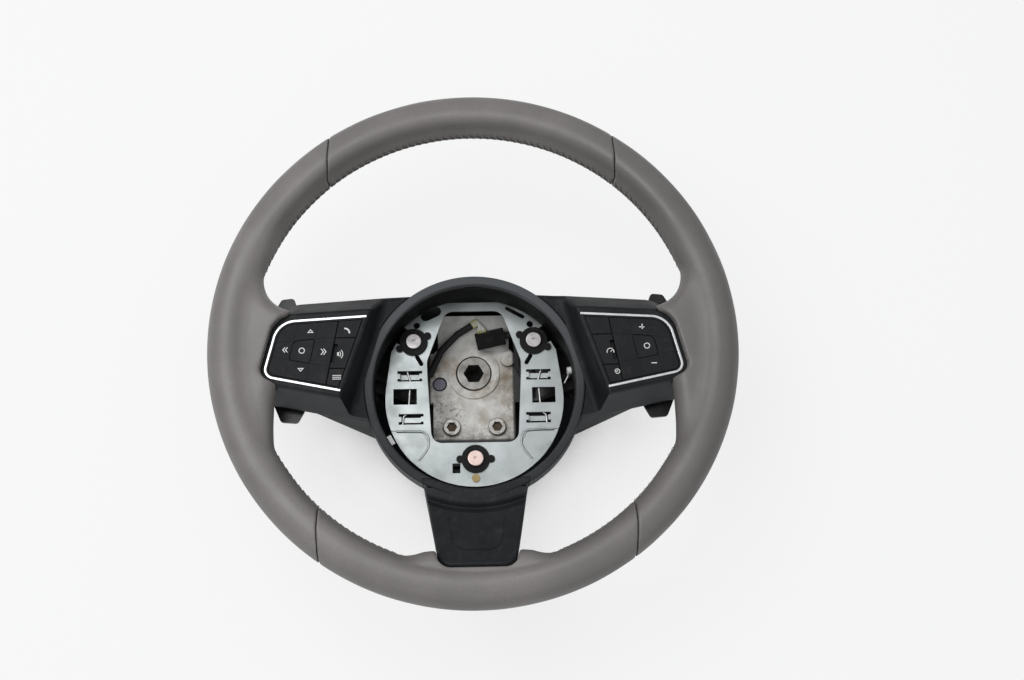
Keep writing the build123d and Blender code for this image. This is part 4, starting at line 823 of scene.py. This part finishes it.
# Switch packs
# A tray in each spoke carries a circuit board and a rubber mat, and soft-touch keys, a rocking pad
# and a centre button on top of them. The left pad tilts both ways on a gimbal ring.
key_plastic = moulded_plastic(
    "soft_touch_keys", (0.015, 0.0155, 0.017), (0.02, 0.0205, 0.022), 0.5, 3600.0, 0.05 * mm, 0.04
)
tray_plastic = moulded_plastic(
    "tray_plastic", (0.008, 0.008, 0.0085), (0.011, 0.011, 0.0115), 0.5, 2000.0, 0.08 * mm
)
gimbal_plastic = moulded_plastic(
    "gimbal_plastic", (0.4, 0.4, 0.39), (0.5, 0.5, 0.49), 0.45, 1800.0, 0.05 * mm
)
board_lacquer, tree, shader = finish("board_lacquer", (0.02, 0.12, 0.05), 0.3)
tracks = add(tree, "TexBrick", {"Scale": 160.0, "Mortar Size": 0.03}, Vector=place_of(tree))
tracks.inputs["Color1"].default_value = (0.015, 0.1, 0.04, 1)
tracks.inputs["Color2"].default_value = (0.02, 0.13, 0.055, 1)
tracks.inputs["Mortar"].default_value = (0.3, 0.26, 0.1, 1)
tree.links.new(tracks.outputs["Color"], shader.inputs["Base Color"])
mat_rubber = mottled("mat_rubber", (0.2, 0.2, 0.21), (0.3, 0.3, 0.31), 220, 3, 0.6)
for side in ("left", "right"):
    for key in ("upper_key", "middle_key", "lower_key", "rocker_pad", "centre_button"):
        paint(f"{side}_{key}", key_plastic)
    paint(f"{side}_switch_housing", tray_plastic)
    paint(f"{side}_switch_board", board_lacquer)
    paint(f"{side}_key_mat", mat_rubber)
paint("left_rocker_gimbal", gimbal_plastic)


# Legends
# White pictograms printed on the keys: arrows on the four-way pad, plus and minus on the other,
# and simple signs on the rest. Each is a thin raised print that moves with its key.
key_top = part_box("left_upper_key")[1].z
print_height = 0.06 * mm
ink = mottled("white_print", (0.62, 0.62, 0.61), (0.84, 0.84, 0.83), 700, 3, 0.55)


def stroke(mesh, points, width, closed=False):
    """A printed line through points, in millimetres."""
    verts = [mesh.verts.new((x * mm, y * mm, key_top - print_height)) for x, y in points]
    pairs = list(zip(verts, verts[1:] + verts[:1])) if closed else list(zip(verts, verts[1:]))
    edges = [mesh.edges.new(pair) for pair in pairs]
    wall = bmesh.ops.extrude_edge_only(mesh, edges=edges)["geom"]
    upper = [item for item in wall if isinstance(item, bmesh.types.BMVert)]
    bmesh.ops.translate(mesh, vec=(0, 0, 2 * print_height), verts=upper)
    faces = [item for item in wall if isinstance(item, bmesh.types.BMFace)]
    bmesh.ops.recalc_face_normals(mesh, faces=faces)
    bmesh.ops.solidify(mesh, geom=faces, thickness=width * mm)


def legend(name, body, strokes):
    """One key's print, made of strokes."""
    mesh = bmesh.new()
    for line in strokes:
        stroke(mesh, *line)
    bmesh.ops.recalc_face_normals(mesh, faces=mesh.faces)
    piece = keep(name, mesh)
    piece.data.materials.append(ink)
    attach(piece, body)


def ring_points(x, y, radius, start=0, end=360, steps=20):
    """Points on a circle between two angles."""
    angles = [math.radians(start + (end - start) * step / steps) for step in range(steps + 1)]
    return [(x + radius * math.cos(angle), y + radius * math.sin(angle)) for angle in angles]


def arrowhead(x, y, way):
    """An outlined triangle that points up or down."""
    return [(x - 2.3, y - 1.2 * way), (x + 2.3, y - 1.2 * way), (x, y + 1.5 * way)], 0.55, True


def chevron(x, y, way):
    """One of a pair of angle marks."""
    return [(x - 0.8 * way, y + 2.0), (x + 0.8 * way, y), (x - 0.8 * way, y - 2.0)], 0.6


legend(
    "left_pad_print",
    "left_pad_body",
    [
        arrowhead(-115.1, 9.1, 1),
        arrowhead(-121.6, -18.8, -1),
        chevron(-133.8, -4.3, -1),
        chevron(-132.0, -4.3, -1),
        chevron(-107.0, -6.0, 1),
        chevron(-105.2, -6.0, 1),
    ],
)
legend("left_centre_print", "left_centre_body", [(ring_points(-121, -5, 2.2), 0.6)])
legend("left_upper_print", "left_upper_key_body", [(ring_points(-91, 7.5, 3.8, 95, -5, 10), 1.1)])
legend(
    "left_middle_print",
    "left_middle_key_body",
    [
        ([(-96.2, -6.6), (-96.2, -9.2)], 1.3),
        (ring_points(-96.4, -7.9, 2.4, 45, -45, 8), 0.5),
        (ring_points(-96.4, -7.9, 3.9, 45, -45, 8), 0.5),
    ],
)
legend(
    "left_lower_print",
    "left_lower_key_body",
    [([(-99.4, -24.4 + row), (-93.4, -24.4 + row)], 0.5) for row in (-1.3, 0, 1.3)],
)
legend(
    "right_pad_print",
    "right_pad_body",
    [
        ([(116.9, 9.1), (120.7, 9.1)], 0.7),
        ([(118.8, 7.2), (118.8, 11.0)], 0.7),
        ([(124.5, -17.4), (128.3, -17.4)], 0.7),
    ],
)
legend("right_centre_print", "right_centre_body", [(ring_points(121.9, -5.1, 2.2), 0.6)])
legend(
    "right_middle_print",
    "right_middle_key_body",
    [(ring_points(95.9, -9.0, 2.7, -20, 200, 14), 0.55), ([(95.9, -9.0), (97.6, -6.9)], 0.55)],
)
legend(
    "right_lower_print",
    "right_lower_key_body",
    [(ring_points(100.2, -23.4, 1.9), 0.5), ([(98.9, -24.7), (101.5, -22.1)], 0.5)],
)


# Shift paddles
# Black glossy blades behind the spokes, each hinged on a steel pin in the spoke back.
paddle_plastic = moulded_plastic(
    "paddle_black", (0.009, 0.009, 0.0095), (0.013, 0.013, 0.0135), 0.3, 2400.0, 0.03 * mm, shine=0.35
)
for node in ("left_paddle", "right_paddle"):
    paint(node, paddle_plastic)


# Horn plate
# A zinc-plated steel stamping with a large window, lanced bridges and pressed corners. Three
# shoulder bolts in black collars guide it on springs, and bent wires hold the airbag hooks.
plate_face = 38 * mm
bead_radius = 0.9 * mm
bead_sink = 0.45 * bead_radius
corner_line = ((57.3, -52.6), (42.0, -52.6), (36.0, -53.6), (33.3, -58.6), (34.0, -67.0), (41.0, -74.5))

zinc, tree, shader = finish("zinc_plate", (0.55, 0.58, 0.58), 0.38, 0.85)
cloud = ramp(tree, speckle(tree, 24, 5, 0.6, 0.3), 0.3, 0.72)
plating = tint(tree, cloud, (0.3, 0.325, 0.325), (0.42, 0.445, 0.445))
smudge = ramp(tree, speckle(tree, 80, 5, 0.6), 0.45, 0.65)
plating = stain(tree, plating, near(tree, (52, -56, 38), 4, 22), smudge, 0.6, (0.25, 0.26, 0.26))
scratches = ramp(tree, speckle(tree, 600, 4, 0.7), 0.58, 0.7)
plating = tint(tree, times(tree, scratches, 0.35), plating, (0.4, 0.42, 0.42))
tree.links.new(plating, shader.inputs["Base Color"])
tree.links.new(ramp(tree, speckle(tree, 55, 5), 0.3, 0.7, 0.3, 0.5), shader.inputs["Roughness"])
emboss(tree, shader, speckle(tree, 500, 4), 0.06 * mm, 0.4)
plate = eased("horn_plate", "stamped_plate", zinc, 0.6 * mm)

springs = keep("coil_springs", merged("horn_springs"))
coat(springs, machined)
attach(springs, "wheel")
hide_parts("horn_springs")
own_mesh(springs)


def bead(name, points):
    """A half-round bead pressed up from the plate along points."""
    data = bpy.data.curves.new(name, "CURVE")
    data.dimensions = "3D"
    data.bevel_depth = bead_radius
    data.bevel_resolution = 3
    data.resolution_u = 6
    line = data.splines.new("NURBS")
    line.points.add(len(points) - 1)
    for point, (x, y) in zip(line.points, points):
        point.co = (x * mm, y * mm, plate_face - bead_sink, 1)
    line.order_u = 3
    line.use_endpoint_u = True
    curve = stand(name, data)
    depsgraph = bpy.context.evaluated_depsgraph_get()
    made = bpy.data.meshes.new_from_object(curve.evaluated_get(depsgraph))
    bpy.data.objects.remove(curve)
    piece = stand(name, made)
    coat(piece, zinc)
    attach(piece, "horn_plate_body")


bead("right_corner_bead", corner_line)
bead("left_corner_bead", [(-x, y) for x, y in corner_line])

paint("plate_rivet", mottled("rivet_brass", (0.16, 0.11, 0.05), (0.36, 0.28, 0.14), 400, 4, 0.4, 0.8))
wire_steel = mottled("spring_wire", (0.38, 0.38, 0.37), (0.6, 0.6, 0.59), 300, 4, 0.3, 0.9)
for node in ("left_retaining_wire", "right_retaining_wire"):
    paint(node, wire_steel)
bolt_zinc, tree, shader = finish("bolt_zinc", (0.4, 0.38, 0.38), 0.3, 1.0)
tarnish = speckle(tree, 160, 5)
lower_bolt = near(tree, (0, -73, 40), 10, 30)
grey_tone = tint(tree, tarnish, (0.3, 0.29, 0.295), (0.46, 0.44, 0.44))
pink_tone = tint(tree, tarnish, (0.5, 0.38, 0.35), (0.62, 0.5, 0.46))
tree.links.new(tint(tree, lower_bolt, grey_tone, pink_tone), shader.inputs["Base Color"])
tree.links.new(ramp(tree, speckle(tree, 220, 4), 0.3, 0.7, 0.3, 0.48), shader.inputs["Roughness"])
paint("horn_bolts", bolt_zinc)
collar_plastic = moulded_plastic(
    "collar_black", (0.009, 0.009, 0.009), (0.012, 0.012, 0.012), 0.5, 1800.0, 0.08 * mm
)
paint("horn_collars", collar_plastic)


# Harness
# A sleeved cable runs from the black connector to each switch pack, with a few loose yellow wires
# and a thin white contact wire. The small white fittings clip to the wall of the well.
paint("harness_connector", collar_plastic)
sleeve, tree, shader = finish("braided_sleeve", (0.016, 0.016, 0.016), 0.7)
braid = add(tree, "TexWave", {"Scale": 420.0, "Distortion": 0.4}, Vector=place_of(tree))
braid.bands_direction = "DIAGONAL"
weave = braid.outputs["Fac"]
tree.links.new(tint(tree, weave, (0.01, 0.01, 0.01), (0.03, 0.03, 0.03)), shader.inputs["Base Color"])
emboss(tree, shader, weave, 0.3 * mm, 0.6)
for node in ("left_lead", "right_lead"):
    paint(node, sleeve)
wire_yellow, tree, shader = finish("wire_yellow", (0.6, 0.58, 0.22), 0.4)
strand = ramp(tree, add(tree, "NewGeometry").outputs["Random Per Island"], 0.3, 0.6)
tree.links.new(tint(tree, strand, (0.62, 0.6, 0.2), (0.72, 0.72, 0.66)), shader.inputs["Base Color"])
paint("harness_wires", wire_yellow)
white_plastic = mottled("white_plastic", (0.7, 0.7, 0.68), (0.85, 0.85, 0.83), 200, 4, 0.4)
for node in ("contact_plug", "edge_clip", "contact_wire"):
    paint(node, white_plastic)
